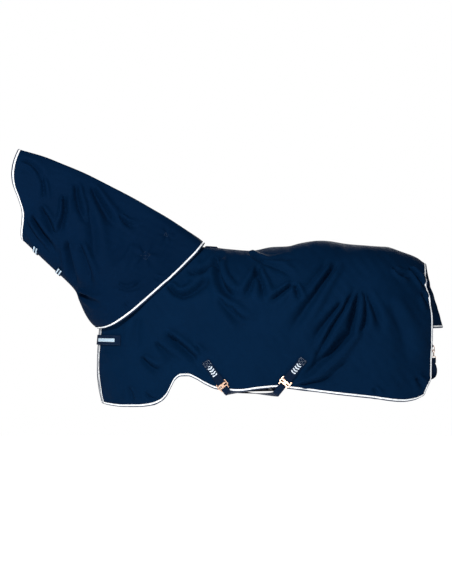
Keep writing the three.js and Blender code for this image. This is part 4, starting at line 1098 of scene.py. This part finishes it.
def add_leg_straps():
    for side in (-1, 1):
        name = "left" if side < 0 else "right"
        z = -558.0
        edge = body_at(side, np.array(2.0), np.array(z))
        back = unit(edge - body_at(side, np.array(1.97), np.array(z)))
        out = unit(np.cross(back, [0, 0, 1]))
        out = -out if out[1] * side < 0 else out
        at = lambda e, h, rise: edge + back * e + out * h + np.array([0, 0, rise])
        inside = -TAB_DEPTH
        loop = WIRE + RING["clearance"] + 1.5
        e0, z0, e_bar = -34, 60, 12
        length = math.hypot(e_bar - e0, z0)
        run = ((e_bar - e0) / length, -z0 / length)
        place = lambda s, h: at(e_bar + run[0] * s, h, run[1] * s)
        h_bar = inside - loop
        across = unit(np.cross(place(1, 0) - place(0, 0), out))
        turns = np.radians(np.linspace(90, -90, 9))
        tab = [place(-length, inside), place(-length / 2, inside)]
        tab += [place(math.cos(t) * loop, h_bar + math.sin(t) * loop) for t in turns]
        tab += [place(-26, h_bar - loop)]
        piece = ribbon(f"leg_tab_webbing_{name}", tab, [across] * len(tab), WIDE["leg"], THICK,
                       MATERIALS["webbing"], "rug")
        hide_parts(f"leg_ring_tab_{name}")
        foot, bar_z = place(4 + RING["reach"], h_bar), 46
        strap_at = lambda e, rise, o=0: foot + back * e + out * o + np.array([0, 0, rise])
        fold = [strap_at(0, -bar_z + math.cos(t) * loop, math.sin(t) * loop) for t in turns]
        hang = [(0, -26, -1), (14, -60, -1.4), (10, -96, -3), (-22, -118, -5), (-80, -120, -6)]
        drop = curve3([strap_at(e, r - bar_z, o * loop) for e, r, o in hang], 4)
        path = [strap_at(0, -24 - bar_z, loop)] + fold + list(drop)
        share = smooth((np.arange(len(path)) - len(fold) - 1) / (len(drop) - 1))[:, None]
        piece = ribbon(f"leg_webbing_{name}", path, mix(back, out, share), WIDE["leg"], THICK,
                       MATERIALS["webbing"], f"leg_strap_{name}", fine=3)
        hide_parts(f"leg_strap_{name}")


def dress_cad_nodes():
    """What still shows of the CAD keeps its solids and its own materials; its metal, except at the leg
    straps, gets rounded edges.
    """
    for name, obj in frame["nodes"].items():
        if obj.hide_render:
            continue
        kind, width = "webbing", 0.0006
        if "reflector" in name:
            kind = "reflective"
        elif name.startswith(("surcingle_plate", "tee_hook", "leg_ring_l", "leg_ring_r", "leg_snap")):
            kind, width = "metal", 0.0009
        obj.data.materials.clear()
        obj.data.materials.append(MATERIALS[kind])
        if kind == "metal" and not name.startswith("leg_"):
            bevel = obj.modifiers.new("edges", "BEVEL")
            bevel.width = width
            bevel.segments = 2
            bevel.limit_method = "ANGLE"


DENSE_BODY = ((260, 170))
DENSE_COVER = ((190, 140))
add_body(-1, DENSE_BODY)
add_body(1, (DENSE_BODY[0] * 2 // 3, DENSE_BODY[1] * 2 // 3))
add_cover(-1, DENSE_COVER)
add_cover(1, (DENSE_COVER[0] * 2 // 3, DENSE_COVER[1] * 2 // 3))
add_tail_flap()
add_belly_straps(add_anchors())
add_chest_strap()
add_throat_straps()
add_leg_straps()
dress_cad_nodes()


# ---------------------------------------------------------------- stage
def add_stage():
    mesh = bpy.data.meshes.new("floor")
    r, z = 9.0, -1.6
    mesh.from_pydata([(-r, -r, z), (r, -r, z), (r, r, z), (-r, r, z)], [], [(0, 1, 2, 3)])
    floor = bpy.data.objects.new("floor", mesh)
    bpy.context.scene.collection.objects.link(floor)
    m, tree, shader = nodes_for("pale_floor")
    shader.inputs["Base Color"].default_value = (0.93, 0.93, 0.93, 1)
    shader.inputs["Roughness"].default_value = 0.9
    shader.inputs["Emission Color"].default_value = (1, 1, 1, 1)
    shader.inputs["Emission Strength"].default_value = 0.9
    mesh.materials.append(m)

    scene = bpy.context.scene
    world = bpy.data.worlds.new("studio")
    scene.world = world
    world.use_nodes = True
    tree = world.node_tree
    background = tree.nodes["Background"]
    background.inputs[0].default_value = (1, 1, 1, 1)
    path = tree.nodes.new("ShaderNodeLightPath")
    strength = math_node(tree, "MULTIPLY_ADD", path.outputs["Is Camera Ray"], 0.88)
    strength.node.inputs[2].default_value = 0.12
    tree.links.new(strength, background.inputs[1])

    def area(name, at, target, size, power):
        data = bpy.data.lights.new(name, "AREA")
        data.shape = "DISK"
        data.size = size
        data.energy = power
        light = bpy.data.objects.new(name, data)
        scene.collection.objects.link(light)
        light.location = at
        light.rotation_mode = "QUATERNION"
        light.rotation_quaternion = (Vector(target) - Vector(at)).to_track_quat("-Z", "Y")

    area("key", (-1.3, -3.7, 2.3), (0.4, 0, -0.4), 0.5, 236)
    area("fill", (0.6, -5.8, -0.8), (0.3, 0, -0.4), 1.4, 60)
    area("rear", (1.5, 6.0, 2.4), (0.1, 0, -0.2), 2.4, 260)

    data = bpy.data.cameras.new("camera")
    camera = bpy.data.objects.new("camera", data)
    scene.collection.objects.link(camera)
    distance, tall = 14.0, 3.329
    data.sensor_width = 36
    data.lens = 36 * distance / tall
    data.clip_end = 100
    camera.location = (0.128, -distance, -0.247)
    camera.rotation_euler = (PI / 2, 0, 0)
    scene.camera = camera
    scene.view_settings.view_transform = "Standard"


add_stage()
